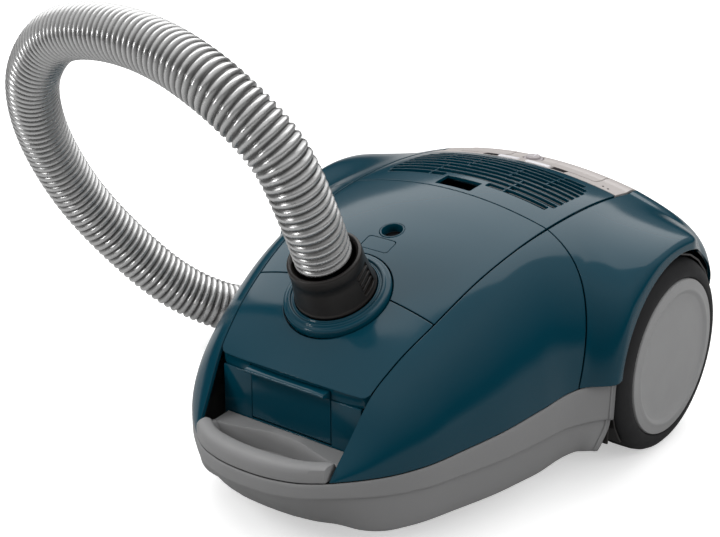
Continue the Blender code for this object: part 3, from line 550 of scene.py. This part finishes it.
def make_hose():
    """Hose with one continuous helical rib; each turn of the mesh joins on to the next."""
    pitch, sides = 5.4, 36
    valley = [(0.0, 1.0), (0.13, 0.66), (0.30, 0.14), (0.50, 0.0), (0.70, 0.14), (0.87, 0.66)]
    line, length = hose_line()
    side, up = carried_frames(line)
    turns = int(length[-1] / pitch) - 1
    points, ribs = [], []
    for k in range(turns * len(valley)):
        phase, depth = valley[k % len(valley)]
        for j in range(sides):
            s = (k // len(valley) + phase + j / sides) * pitch
            angle = 2 * math.pi * j / sides
            centre = [np.interp(s, length, line[:, i]) for i in range(3)]
            i = min(int(s), len(line) - 1)
            r = HOSE_R - 2.3 * depth
            points.append(tuple(centre + r * (side[i] * math.cos(angle) + up[i] * math.sin(angle))))
            # mask for the painted valley shade: 0 in a valley, 1 on a ridge
            ribs.append(1 - depth)
    rows, step = turns * len(valley), len(valley)
    faces = []
    for k in range(rows - 1):
        for j in range(sides - 1):
            here, after = k * sides + j, (k + 1) * sides + j
            faces.append((here, here + 1, after + 1, after))
        if k + step + 1 < rows:
            last, first = k * sides + sides - 1, (k + step) * sides
            faces.append((last, first, first + sides, last + sides))
    obj = new_object("hose_ribbed", points, faces, HOSE_WITH_PAINTED_SHADE)
    rib = obj.data.attributes.new("rib", "FLOAT", "POINT")
    rib.data.foreach_set("value", ribs)
    face_outwards(obj)
    obj.data.shade_smooth()
    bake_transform(obj)
    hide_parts("hose")
    return obj, line, length


def make_hose_end():
    """Moulded cuff on the hose's far end; the hand grip keeps its own node, made smoother."""
    cuff = [(19.8, 38), (18.3, 38), (18.3, 2), (20.3, 1), (20.3, -10), (21.2, -10), (22.2, -8.5),
            (22.2, -5), (21.6, -4.5), (21.6, -2.5), (22.2, -2), (22.2, 1), (21.6, 1.5), (21.6, 3.5), (22.2, 4),
            (22.1, 7), (19.9, 36.5)]
    cuff = bake(turned("hose_cuff_moulded", cuff, HOSE_ROUTE[-1], "CUFF", BLACK, 64))
    place(cuff, "chassis", ["hose_cuff"], "black_plastic")
    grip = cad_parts["hand_grip"]
    weld = grip.modifiers.new("weld", "WELD")
    weld.merge_threshold = 0.00002
    rounder = grip.modifiers.new("rounder", "SUBSURF")
    rounder.levels = rounder.render_levels = 1
    return cuff, grip


hose, hose_path, hose_lengths = make_hose()
cuff, grip = make_hose_end()


# ---------------------------------------------------------------- body panels
def make_side_panel(tag, side):
    """Glossy flank between the base rim, the lids and the wheel arch."""
    rows = []
    for t in spread(0.010, 1.0, 40):
        low, high = -168.1 + 2.2 * (1 - t) ** 4, panel_seam_y(t) - GAP
        row = []
        for u in spread(0, 1, 64):
            x, y, z = side_point(low + (high - low) * u ** 1.35, t, side)
            row.append((x, y, z - (2 if t > 0.99 else 0)))
        rows.append(row)
    obj = sheet("side_panel_%s_moulded" % tag, rows, TEAL)
    cut(obj, rim_cutter())
    place(bake(obj), "chassis", ["side_panel_" + tag], "teal_plastic")


def rim_cutter():
    y, z = -168.1, HANDLE_Z + GAP
    return block("rim_cutter", (-220, y - 60, z - 90), (220, y + 430, z),
                 tilt=math.degrees(math.atan(RIM_RISE)), turn_about=(0, y, z))


def flared(point, side, t):
    """The wheel-arch panel turns out towards the arch and ends in a flat lip round it."""
    x, y, z = point
    out = abs(x)
    rho = math.hypot(y - ARCH_Y, z - ARCH_Z)
    ahead = max(0.0, -(y - ARCH_Y) / max(rho, 1))
    band = 24 + 12 * ahead
    w = smooth(1 - (rho - ARCH_R - LIP) / band) ** 1.3
    w *= smooth((167 - y) / 46) * smooth((t - 0.05) / 0.35) * smooth((y - panel_seam_y(t)) / 20)
    return [side * (out + max(0.0, LIP_X - out) * w), y, z]


def make_wheel_arch(tag, side):
    rows = []
    for t in spread(0.010, 1.0, 84):
        low = panel_seam_y(t) + GAP
        row = []
        for u in spread(0, 1, 96):
            y = low + (186.8 - low) * u
            x, y, z = flared(side_point(y, t, side), side, t)
            row.append((x, y, z - (2 if t > 0.99 else 0)))
        corner = Vector((side * seam_half(HALF_LENGTH), HALF_LENGTH, rim_z(HALF_LENGTH)))
        row.append(corner.lerp(Vector(row[-1]), 0.2))
        rows.append(row)
    obj = sheet("wheel_arch_%s_moulded" % tag, rows, TEAL)
    cut(obj, rod("arch_cutter", (side * 137, ARCH_Y, ARCH_Z), ARCH_R, 56, "X", sides=160))
    cut(obj, rim_cutter())
    place(bake(obj), "chassis", ["wheel_arch_" + tag], "teal_plastic")


def deck_rows(ys, columns):
    rows = []
    for y in ys:
        row = []
        for s in spread(-1, 1, columns):
            x, y, z = deck_point(y, s)
            row.append((math.copysign(seam_half(y) - GAP, s), y, z) if abs(s) > .9999 else (x, y, z))
        rows.append(row)
    return rows


def ring_cutter():
    return rod("ring_cutter", ring_place(0, 0, -4), RING_R + GAP + .2, 60, "RING", sides=160)


def make_front_lid():
    """Front lid; its front edge rolls down into a lip, with a slot over the latch tab."""
    rows = []
    roll = [(1.6, -8.0), (1.5, -4.5), (0.9, -1.6), (0.35, -0.45)]
    for down in roll + [None] * 30:
        row = []
        share = (len(rows) - len(roll)) / 29
        for s in spread(-1, 1, 49):
            corner = max(0.0, abs(s) - 0.9) * 10
            front = LID_FRONT_Y + LID_BOW * s * s + 2.5 * corner**3
            y = front if down else front + (CROSS_SEAM_Y - GAP - front) * share
            x, y, z = deck_point(y, s)
            if abs(s) > .9999:
                x = math.copysign(seam_half(y) - GAP, s)
            row.append((x, y + down[0], z + down[1]) if down else (x, y, z))
        rows.append(row)
    obj = sheet("front_lid_moulded", rows, TEAL, inside=(0, -60, 60))
    cut(obj, ring_cutter())
    half = LATCH_HALF + .8
    cut(obj, block("latch_slot", (-half, -150, 90), (half, -133, 104.8), round_by=.8))
    place(bake(obj), "bag_lid", ["front_lid"], "teal_plastic")


def button_cutter(grow, name):
    half, y0, y1, tilt = BUTTON
    y = (y0 + y1) / 2
    z = deck_z(0, y)
    long = (y1 - y0) / 2 / math.cos(math.radians(tilt)) + grow
    obj = block(name, (-half - grow, y - long, z - 15), (half + grow, y + long, z + 15),
                round_by=2.4, segments=4)
    pivot = Vector((0, y, z)) * MM
    obj.data.transform(Matrix.Translation(pivot) @ Matrix.Rotation(math.radians(tilt), 4, "X")
                       @ Matrix.Translation(-pivot))
    return obj


def make_accessory_lid():
    """Rear lid with its window hole, and the push button set into it."""
    rows = deck_rows(spread(CROSS_SEAM_Y + GAP, LID_HINGE_Y - GAP, 40), 49)
    obj = sheet("accessory_lid_moulded", rows, TEAL)
    cut(obj, ring_cutter())
    cut(obj, button_cutter(.35, "button_hole"))
    cut(obj, rod("indicator_hole", (0, INDICATOR_Y, 170), INDICATOR_R + .1, 40, "Z"))
    place(bake(obj), "accessory_lid", ["accessory_lid"], "teal_plastic")
    half, y0, y1, _ = BUTTON
    rows = [[(x, y, deck_z(x, y) - .1) for x in spread(-half - 2, half + 2, 17)]
            for y in spread(y0 - 2, y1 + 2, 13)]
    button = sheet("push_button_moulded", rows, TEAL, wall=3.0)
    cut(button, button_cutter(-.1, "button_edge"), "INTERSECT")
    place(bake(button), "push_button", ["push_button"], "teal_plastic")


def make_indicator():
    """Bag-full window: a short teal well with a near-black disc at its foot, painted shade for the depth of the
    hole.
    """
    z = deck_z(0, INDICATOR_Y)
    r = INDICATOR_R
    well = [(r, -.3), (r - .5, .15), (r - 1.2, .05), (r - 1.5, -.6), (r - 1.7, -6.5),
            (r - 1.2, -7.5), (r, -7.5)]
    cup = turned("well", well, (0, INDICATOR_Y, z), "Z", TEAL, 64)
    # near-black disc at the well's foot: painted shade
    face = [(0, -5.2), (r - 3.4, -5.4), (r - 1.5, -6.0), (r - 1.5, -7.2), (0, -7.2)]
    shade_disc = turned("float", face, (0, INDICATOR_Y, z), "Z", BLACK_AND_PAINTED_SHADE, 48, closed=False)
    tilt = Matrix.Translation(Vector((0, INDICATOR_Y, z)) * MM)
    for item in (cup, shade_disc):
        item.data.transform(tilt @ Matrix.Rotation(math.radians(15), 4, "X") @ tilt.inverted())
    place(bake(join([cup, shade_disc], "bag_indicator_window")), "accessory_lid", ["bag_indicator"],
          "black_plastic")


def make_grille():
    """Exhaust panel: recessed slots over a floor painted darker teal as shade, cross ribs and a finger pocket
    whose floor is a black sheet of painted shade.
    """
    rows = deck_rows(spread(LID_HINGE_Y + GAP, GRILLE_REAR_Y - GAP, 40), 49)
    obj = sheet("exhaust_grille_moulded", rows, TEAL)
    for i, end in enumerate(SLOT_HALF):
        y = SLOT_Y + SLOT_PITCH * (i + .5)
        # the first slot leaves room for the pocket
        for low_x, high_x in [(-end, -17.5), (17.5, end)] if i == 0 else [(-end, end)]:
            cut(obj, block("slot", (low_x, y - SLOT_WIDE / 2, 160), (high_x, y + SLOT_WIDE / 2, 195),
                           round_by=1.2))
    cut(obj, block("pocket", (-14.5, 42.6, 160), (14.5, 58.4, 195), round_by=.8))
    obj = bake(obj)
    # the floor under the slots is a darker teal copy: painted shade seen through the slots
    floor = [[(x, y, deck_z(x, y) - 2.9) for x in spread(-71, 71, 33)] for y in spread(60, 123, 24)]
    floor = bake(sheet("grille_shade_floor", floor, TEAL_PAINTED_SHADE, wall=1.0))
    # a black sheet at the pocket's foot: painted shade in the finger pocket
    pocket = [[(x, y, deck_z(x, y) - 9) for x in spread(-20, 20, 5)] for y in spread(40, 61, 5)]
    pocket = bake(sheet("pocket_shade_sheet", pocket, BLACK_AND_PAINTED_SHADE, wall=1.0))
    ribs = []
    for x, i0, i1 in ((31, 0, 3), (18, 4, 6), (-31, 0, 3), (-18, 4, 6), (44, 5, 8), (-44, 5, 8)):
        y0, y1 = SLOT_Y + SLOT_PITCH * i0, SLOT_Y + SLOT_PITCH * (i1 + 1)
        rows = [[(xx, y, deck_z(xx, y) - .7) for xx in (x - .6, x, x + .6)] for y in spread(y0, y1, 12)]
        ribs.append(bake(sheet("cross_rib", rows, TEAL, wall=2.4)))
    obj = join([obj, floor, pocket] + ribs, "exhaust_grille_moulded_set")
    place(bake(obj), "chassis", ["exhaust_grille"], "teal_plastic")


def make_rear_cover():
    """Light rear panel with its trim, windows, pedals, power knob and cord outlet."""
    ys = spread(GRILLE_REAR_Y + GAP, 158, 20) + spread(159.5, 180, 16)
    ys += [182, 183.6, 184.9, 185.8, 186.4, 186.8, 187]
    rows = []
    for y in ys:
        row = []
        for s in spread(-1, 1, 49):
            x, y, z = deck_point(y, s)
            z = max(z, rim_z(y) + GAP)
            row.append((math.copysign(seam_half(y) - GAP, s) if abs(s) > .9999 else x, y, z))
        rows.append(row)
    obj = sheet("rear_cover_moulded", rows, LIGHT, inside=(0, 120, 90))
    for low, high in PEDALS.values():
        cut(obj, block("pedal_hole", (low - .5, PEDAL_Y0 - .5, 150), (high + .5, PEDAL_Y1 + .5, 190),
                       round_by=2.2))
    cut(obj, rod("knob_hole", (0, KNOB_Y, 170), KNOB_R + .6, 40, "Z"))
    cut(obj, rod("cord_hole", (CORD_X, 180, CORD_Z), CORD_R + .4, 40, "Y"))
    obj = bake(obj)
    strips = []
    # black sheets laid over the windows: painted shade for the dark seen through them
    for low, high in ((-33.0, -21.5), (24.5, 36.0)):
        rows = [[(x, y, deck_z(x, y) + .25) for x in spread(low, high, 7)] for y in (132.8, 136, 139.4)]
        strips.append(bake(sheet("window", rows, BLACK_AND_PAINTED_SHADE, wall=.8)))
    for low, high in ((-20.0, -3.5), (3.5, 23.0)):
        rows = [[(x, y, deck_z(x, y) + h) for y, h in TRIM_SECTION] for x in spread(low, high, 14)]
        strips.append(bake(sheet("trim_strip", rows, TRIM, wall=1.2)))
    for x, y in ((66, 137.5), (70.5, 136.8)):
        strips.append(rod("lamp", (x, y, deck_z(x, y) - .2), .8, .8, "Z", BLACK_AND_PAINTED_SHADE, 20))
    obj = join([obj] + strips, "rear_cover_moulded_set")
    place(bake(obj), "chassis", ["rear_cover"], "light_plastic")
    for name, (low, high) in PEDALS.items():
        rows = [[(x, y, deck_z(x, y) + .25) for x in spread(low - 1, high + 1, 33)]
                for y in spread(PEDAL_Y0 - 1, PEDAL_Y1 + 1, 19)]
        pedal = sheet(name + "_moulded", rows, LIGHT, wall=3.2)
        edge = block("edge", (low, PEDAL_Y0, 150), (high, PEDAL_Y1, 190), round_by=2.2)
        cut(pedal, edge, "INTERSECT")
        place(bake(pedal), name, [name], "light_plastic")
    z = deck_z(0, KNOB_Y)
    profile = [(0, 1.5), (3.9, 1.6), (4.9, 2.1), (5.4, 1.7), (5.5, .4), (KNOB_R - .3, .3),
               (KNOB_R, -.1), (KNOB_R, -8), (0, -8)]
    knob = turned("knob", profile, (0, KNOB_Y, z), "Z", KNOB, 72, closed=False)
    mark = block("mark", (-.5, KNOB_Y + 1.2, z + 1.3), (.5, KNOB_Y + 4.4, z + 2.0), TRIM, round_by=.2)
    place(bake(join([knob, mark], "power_knob_moulded")), "power_knob", ["power_knob"], "grey_plastic")
    gland = [(CORD_R, 187.6), (CORD_R - .6, 188.2), (4.4, 188.2), (3.6, 187.4), (3.6, 176),
             (CORD_R, 176)]
    gland = turned("cord_outlet_moulded", gland, (CORD_X, 0, CORD_Z), "Y", BLACK, 48)
    place(bake(gland), "chassis", ["cord_outlet"], "black_plastic")


# ---------------------------------------------------------------- inlet ring and collar
def make_inlet():
    """Stepped inlet ring, and the hose collar with a ribbed clip on each side."""
    profile = soften([(36.3, -5), (36.4, .2), (35.6, 1.3), (33.9, 1.5), (33.1, 1.8), (32.7, 2.7),
                      (31.6, 3.1), (30.9, 2.8), (30.5, 1.9), (29.4, 1.9), (28.9, 2.8), (28.3, 3.0), (27.9, 2.2),
                      (27.7, -2), (25.2, -2)], 1)
    profile += [(24.9, -4.4), (18, -8), (18, -36), (20, -36), (20, -9), (25.8, -6)]
    ring = turned("inlet_ring_moulded", profile, ring_place(0, 0, 0), "RING", TEAL, 128)
    place(bake(ring, 50), "bag_lid", ["inlet_ring"], "teal_plastic")

    outer = [(23.0, 33.0), (24.4, 32.6), (24.9, 31.6), (25.1, 26.0), (24.9, 24.8), (24.7, 24.2),
             (26.9, 6.4), (27.1, 5.2), (27.6, 4.6), (27.6, 3.4), (26.8, 2.8)]
    inner = [(24.3, 2.6), (24.3, -3.6), (22, -3.6), (22, 20), (20.2, 23), (20.2, 29), (21.2, 31.8)]
    collar = turned("collar_body", soften(outer, 1) + inner, ring_place(0, 0, 0), "RING", BLACK, 128)
    ribs = []
    for turn in (12, 192):
        spin = Matrix.Translation(Vector(ring_place(0, 0, 0)) * MM) @ RING_TURN \
            @ Matrix.Rotation(math.radians(turn), 4, "Z")
        recess = block("clip_recess", (23.2, -7.5, 7.5), (31, 7.5, 24.0), round_by=.8)
        recess.data.transform(spin)
        cut(collar, recess)
        for z in (9.6, 14.2, 18.8):
            rib = block("clip_rib", (22.6, -7.0, z), (25.6 - .05 * z, 7.0, z + 2.2), BLACK, round_by=.6)
            rib.data.transform(spin)
            ribs.append(rib)
    collar = bake(collar)
    collar = join([collar] + ribs, "hose_collar_moulded")
    place(bake(collar, 40), "hose_collar", ["hose_collar"], "black_plastic")


# ---------------------------------------------------------------- base, handle and front recess
def base_outline():
    """The tub's outline at its rim, round the wheel wells."""
    half = [(x, -187 + 2.0 * (x / 22)**2) for x in spread(0, 22, 5)]
    front = curve([(22, -185), (40, -178.5), (54, -168.1), (69, -155)])
    half += [(x, front(x)) for x in spread(26, 54, 7)]
    half += [(rim_x(y), y) for y in spread(-165, 20, 60)]
    half += [(rim_x(y), y) for y in (23, 26, 28.2)]
    half += [(143.6, 29.0), (141.5, 29.2), (126, 29.2), (WELL_X, 29.2)]
    half += [(WELL_X, y) for y in spread(40, 176, 14)]
    half += [(109.6, 179), (107.5, 182.6), (104, 184.8), (98, 186.4)]
    half += [(x, HALF_LENGTH) for x in (88, 70, 50, 25, 0)]
    return half + [(-x, y) for x, y in half[-2:0:-1]]


# how far the lower hull is drawn in at each height
SIDE_IN = curve([(20, 9.5), (21, 7.6), (23.5, 6.4), (33, 4.4), (46, 3.0)])
FRONT_IN = curve([(20, 29), (21, 26), (23.5, 23), (33, 14), (46, 3.8)])


def make_base():
    """Grey tub: a fuller upper band, a stepped groove, and a lower hull drawn in to the floor."""
    loop = base_outline()
    # each ring: its kind, its height, and how far in it lies at the sides and at the front
    levels = [("rim", 0, 0.9, 0.9), ("rim", -.35, .3, .3), ("rim", -1.0, .05, .05), ("rim", -3, 0, 0)]
    levels += [("groove", 2.2, 0.25, 0.4), ("groove", 1.2, 0.35, 0.5), ("groove", .5, 1.0, 1.3),
               ("groove", .1, 2.6, 3.2), ("groove", -.6, 2.9, 3.6)]
    low_z = (44, 41, 38, 35, 32, 29, 26, 24, 22.4, 21.2, 20.4, 20)
    levels += [("low", z, SIDE_IN(z), FRONT_IN(z)) for z in low_z]
    points = []
    for kind, height, side_in, front_in in levels:
        for x, y in loop:
            in_well = 25 < y < 182 and abs(x) <= WELL_X + 0.1
            share = min(1.0, abs(x) / 110)
            front = max(0.0, (-y - 60) / 127) ** 2 * smooth((-y - 132) / 42)
            corner = math.exp(-((abs(x) - 72) / 16) ** 2) * smooth((-y - 120) / 40) if kind == "low" else 0
            new_x = x if in_well else x - math.copysign(side_in * share, x)
            new_y = y + front_in * front * (1 - .16 * corner) - (0.25 * front_in if y > 182.5 else 0)
            if abs(x) > WELL_X + 1 and 28 < y < 30:
                lean = 0 if kind == "rim" else smooth((50 - (height if kind == "low" else 46)) / 30)
                new_x = math.copysign(max(abs(x) - side_in * 0.9, WELL_X + 8), x)
                new_y = y - 9 * lean * smooth((abs(x) - WELL_X - 8) / 24)
            elif abs(x) > WELL_X + 1 and 10 < y <= 28.2 and kind == "low":
                new_y = y - 9 * smooth((50 - height) / 30) * smooth((y - 10) / 18)
            groove = 47.2 + 3.2 * min(max((y + 187) / 374, 0), 1)
            if kind == "rim":
                z = (rim_z(y) if y > -168 else HANDLE_Z) - GAP + height
            elif kind == "groove":
                z = groove + height
            else:
                z = min(height, groove - 1.2) if height > 40 else height
            if kind == "low" and abs(x) > WELL_X + 1 and -20 < y < 31:
                z += 7 * smooth((y + 20) / 48) * (46 - min(z, 46)) / 26
            points.append((new_x, new_y, z))
    n = len(loop)
    faces = [(k * n + i, (k + 1) * n + i, (k + 1) * n + (i + 1) % n, k * n + (i + 1) % n)
             for k in range(len(levels) - 1) for i in range(n)]
    faces.append(tuple(reversed([(len(levels) - 1) * n + i for i in range(n)])))
    obj = new_object("base_tub_moulded", points, faces, GREY)
    face_outwards(obj)
    bm = bmesh.new()
    bm.from_mesh(obj.data)
    lowest = min(bm.faces, key=lambda f: f.calc_center_median().z)
    if lowest.normal.z > 0:
        bmesh.ops.reverse_faces(bm, faces=bm.faces[:])
    bm.to_mesh(obj.data)
    bm.free()
    solid = obj.modifiers.new("wall", "SOLIDIFY")
    solid.thickness = WALL * MM
    solid.offset = -1
    obj = bake(obj, 45)
    fins = []
    for side in (1, -1):
        for i, y in enumerate((31.5, 35.5, 39.5)):
            x0, x1 = sorted((side * WELL_X, side * (138 - 5 * i)))
            fins.append(block("well_fin", (x0, y, 28 + i), (x1, y + 1.6, 56 - 3 * i), BLACK, round_by=.6))
    obj = join([obj] + fins, "base_tub_moulded_set")
    place(bake(obj, 45), "chassis", ["base_tub"], "grey_plastic")


def make_handle():
    """Bowed grip with a finger scoop behind it and a ledge rising to the recess wall."""
    edge = curve([(-52.4, 169.6), (-40, 178.2), (-22, 184.6), (0, 186.7), (22, 184.6), (40, 178.2),
                  (52.4, 169.6)])
    scoop_front = curve([(-49, 158.5), (-38, 166), (-20, 171.2), (0, 172.8), (20, 171.2), (38, 166),
                         (49, 158.5)])
    rows = []
    for x in spread(-52.4, 52.4, 61):
        outer, inner = -edge(x), -scoop_front(max(-49, min(49, x)))
        deep = smooth((50 - abs(x)) / 7)
        back = -152 + 9.5 * smooth((49 - abs(x)) / 45)
        top = 70.8 - .9 * (x / 52) ** 2
        floor = 50.0 + (64.4 - 50.0) * (1 - deep)
        ledge0, ledge1 = 64.2, 65.0
        row = [(outer + 2.2, HANDLE_Z + .2), (outer + .25, HANDLE_Z + .5), (outer, HANDLE_Z + 1.6),
               (outer, 66.0),
               (outer + .5, 68.6), (outer + 1.7, top - .7), (outer + 3.6, top), (inner - 2.6, top - .2),
               (inner - .9, top - .9), (inner, top - 2.4), (inner + .6, 66.0),
               (inner + 1.2, floor + 1.2), (inner + 2.4, floor + .1), (back - 3.4, floor),
               (back - 1.4, floor + .5),
               (back - .8, ledge0 - .9), (back, ledge0), (WALL_Y - 2.8, ledge1), (WALL_Y - 2.6, ledge1 - 1),
               (WALL_Y - 2.6, 48.4), (inner + 2, 48.4), (inner, HANDLE_Z + .2)]
        rows.append([(x, y, z) for y, z in row])
    points = [p for row in rows for p in row]
    n = len(rows[0])
    faces = [(i * n + j, i * n + (j + 1) % n, (i + 1) * n + (j + 1) % n, (i + 1) * n + j)
             for i in range(len(rows) - 1) for j in range(n)]
    faces += [tuple(range(n)), tuple(reversed(range((len(rows) - 1) * n, len(rows) * n)))]
    obj = new_object("carry_handle_moulded", points, faces, GREY)
    face_outwards(obj)
    place(bake(obj, 40), "chassis", ["carry_handle"], "grey_plastic")


def make_recess():
    """Recess wall either side of the latch lever, and the lever with its pull tab."""
    top, half = 98.0, LATCH_HALF + .35
    walls = []
    for side in (1, -1):
        low, high = sorted((side * half, side * 56.0))
        walls.append(block("wall", (low, WALL_Y - 2.2, 60.2), (high, WALL_Y, top), TEAL, round_by=.4))
    walls.append(block("sill", (-half - 1, WALL_Y - 2.2, 60.2), (half + 1, WALL_Y, 65.2), TEAL,
                       round_by=.3))
    place(bake(join(walls, "recess_wall_moulded")), "chassis", ["recess_wall"], "teal_plastic")
    y0 = WALL_Y
    outline = soften([(y0 - 2.2, 66.8), (y0 - 2.2, 96.5), (y0 - 3.6, 99.6), (-142.2, 101.0),
                      (-144.4, 101.3),
                      (-145.0, 102.4), (-144.4, 103.8), (-142, 104.2), (y0, 104.2)], 1) + [(y0, 66.8)]
    n = len(outline)
    xs = spread(-LATCH_HALF + .1, LATCH_HALF - .1, 9)
    points = [(x, y, z) for x in xs for y, z in outline]
    faces = [(i * n + j, i * n + (j + 1) % n, (i + 1) * n + (j + 1) % n, (i + 1) * n + j)
             for i in range(len(xs) - 1) for j in range(n)]
    faces += [tuple(range(n)), tuple(reversed(range((len(xs) - 1) * n, len(xs) * n)))]
    obj = new_object("latch_lever_moulded", points, faces, TEAL)
    face_outwards(obj)
    place(bake(obj, 40), "latch", ["latch_lever"], "teal_plastic")


# ---------------------------------------------------------------- wheels
def make_wheel(tag, side):
    """Dished hub on ten webs, with its tyre."""
    axis, centre, f = "X" if side > 0 else "-X", (0, WHEEL_Y, WHEEL_Z), HUB_FACE_X
    face = [(0, f - 2.1), (20, f - 2.1), (38, f - 2.0), (44.6, f - 1.8), (46.6, f - 1.2), (47.7, f - .15),
            (48.8, f), (49.9, f - .35), (51.2, f - .8), (54.6, f - .9), (55.6, f - 1.2), (56.1, f - 2.2)]
    inner = [(56.1, TYRE_IN_X + 3), (53.1, TYRE_IN_X + 3), (53.1, f - 5), (9, f - 5), (9, TYRE_IN_X + 2),
             (5.08, TYRE_IN_X + 2), (5.08, f - 4), (0, f - 4)]
    hub = turned("hub", face + inner, centre, axis, HUB_GREY, 144, closed=False)
    spokes = []
    for k in range(10):
        spoke = block("hub_web", (TYRE_IN_X + 12, -1.1, 9.2), (f - 4.6, 1.1, 53.0), HUB_GREY,
                      round_by=.3)
        spoke.data.transform(Matrix.Rotation(2 * math.pi * k / 10, 4, "X"))
        if side < 0:
            spoke.data.transform(Matrix.Rotation(math.pi, 4, "Z"))
        spoke.data.transform(Matrix.Translation(Vector(centre) * MM))
        spokes.append(spoke)
    obj = join([hub] + spokes, "wheel_hub_%s_moulded" % tag)
    place(bake(obj, 40), "wheel_" + tag, ["wheel_hub_" + tag], "hub_grey")
    r, o, i = TYRE_R, TYRE_OUT_X, TYRE_IN_X
    tread = [(56.5, o + .4), (57.3, o + 1.2), (58.6, o + 1.5), (61, o + 1.2), (64.5, o - .2),
             (67.2, o - 2.4),
             (68.9, o - 5.4), (r - .1, o - 9.5), (r, o - 15), (r, i + 8), (r - .4, i + 4), (r - 2, i + 1.2),
             (r - 4.5, i), (56.5, i)]
    tyre = turned("tyre_%s_moulded" % tag, tread, centre, axis, RUBBER, 160)
    place(bake(tyre, 50), "wheel_" + tag, ["tyre_" + tag], "rubber")


for side_tag, side_sign in (("left", 1), ("right", -1)):
    make_side_panel(side_tag, side_sign)
    make_wheel_arch(side_tag, side_sign)
    make_wheel(side_tag, side_sign)
make_front_lid()
make_accessory_lid()
make_indicator()
make_grille()
make_rear_cover()
make_inlet()
make_base()
make_handle()
make_recess()

# ---------------------------------------------------------------- CAD nodes that stay as they are
CARRIED = {
    GREY: ["caster_roller", "cord_reel", "bag_holder"],
    BLACK: ["wheel_liner_left", "wheel_liner_right", "accessory_tray", "caster_fork", "bag_chamber_wall",
            "pedal_shelf", "hand_grip"],
    RUBBER: ["inlet_seal", "motor_mount_front", "motor_mount_rear"],
    STEEL: ["latch_pin", "wheel_axle_left", "wheel_axle_right", "caster_pin", "rewind_spring",
            "switch_spring", "motor_housing", "fan_impeller", "reel_axle"],
    COPPER: ["motor_rotor"],
    CLOTH: ["dust_bag"],
    FOAM: ["motor_filter", "exhaust_filter"],
    CARD: ["bag_card"],
    BOARD: ["control_board"],
}
for mat, names in CARRIED.items():
    for name in names:
        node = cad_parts[name]
        node.data.materials.clear()
        node.data.materials.append(mat)
        node.data.shade_smooth()
        node.data.set_sharp_from_angle(angle=math.radians(35))

# ---------------------------------------------------------------- floor and light
floor_mat, floor_tree, floor_shader = new_material("pale_floor")
grain = noise(floor_tree, 3, 2)
floor_tree.links.new(mix(floor_tree, grain.outputs["Fac"], (0.93, 0.93, 0.93), (0.95, 0.95, 0.95)),
                     floor_shader.inputs["Base Color"])
floor_shader.inputs["Roughness"].default_value = 0.9
floor_shader.inputs["Emission Color"].default_value = (1, 1, 1, 1)
floor_shader.inputs["Emission Strength"].default_value = 0.45
to_camera = floor_tree.nodes.new("ShaderNodeLightPath")
dim = floor_tree.nodes.new("ShaderNodeBsdfDiffuse")
dim.inputs["Color"].default_value = (0.42, 0.42, 0.42, 1)
either = floor_tree.nodes.new("ShaderNodeMixShader")
floor_tree.links.new(to_camera.outputs["Is Camera Ray"], either.inputs["Fac"])
floor_tree.links.new(dim.outputs["BSDF"], either.inputs[1])
floor_tree.links.new(floor_shader.outputs["BSDF"], either.inputs[2])
floor_tree.links.new(either.outputs["Shader"], floor_tree.nodes["Material Output"].inputs["Surface"])
floor = new_object("floor", [(-9000, -9000, 0), (9000, -9000, 0), (9000, 9000, 0), (-9000, 9000, 0)],
                   [(0, 1, 2, 3)], floor_mat)

world = bpy.data.worlds.new("studio")
bpy.context.scene.world = world
world.use_nodes = True
sky = world.node_tree
for node in list(sky.nodes):
    sky.nodes.remove(node)
direction = sky.nodes.new("ShaderNodeTexCoord")
split = sky.nodes.new("ShaderNodeSeparateXYZ")
sky.links.new(direction.outputs["Generated"], split.inputs["Vector"])
shade = ramp(sky, split.outputs["Z"], 0.04, 1.0, 0.1, 0.75)
colour = mix(sky, shade, (0.0, 0.0, 0.0), (1.0, 1.0, 1.0))
lit = sky.nodes.new("ShaderNodeBackground")
lit.inputs["Strength"].default_value = 0.75
sky.links.new(colour, lit.inputs["Color"])
seen = sky.nodes.new("ShaderNodeBackground")
seen.inputs["Color"].default_value = (1, 1, 1, 1)
seen.inputs["Strength"].default_value = 1.0
which = sky.nodes.new("ShaderNodeLightPath")
choose = sky.nodes.new("ShaderNodeMixShader")
sky.links.new(which.outputs["Is Camera Ray"], choose.inputs["Fac"])
sky.links.new(lit.outputs["Background"], choose.inputs[1])
sky.links.new(seen.outputs["Background"], choose.inputs[2])
out = sky.nodes.new("ShaderNodeOutputWorld")
sky.links.new(choose.outputs["Shader"], out.inputs["Surface"])


def softbox(name, location, target, size, power, mirrored=True):
    light = bpy.data.lights.new(name, "AREA")
    light.shape = "RECTANGLE"
    light.size, light.size_y = size
    light.energy = power
    obj = bpy.data.objects.new(name, light)
    obj.location = location
    obj.rotation_euler = (Vector(target) - Vector(location)).to_track_quat("-Z", "Y").to_euler()
    obj.visible_glossy = mirrored
    bpy.context.scene.collection.objects.link(obj)


softbox("top_back", (-0.7, 0.9, 1.7), (0, 0, 0.1), (3.0, 2.4), 32)
softbox("left_front", (-1.1, -1.2, 1.3), (0, 0, 0.12), (0.9, 0.9), 12, False)
softbox("edge_glint", (-1.3, -2.1, 0.75), (0, -0.1, 0.1), (0.5, 0.35), 9)
softbox("right_fill", (1.6, 0.1, 0.9), (0.1, 0.05, 0.08), (0.9, 1.2), 10, False)
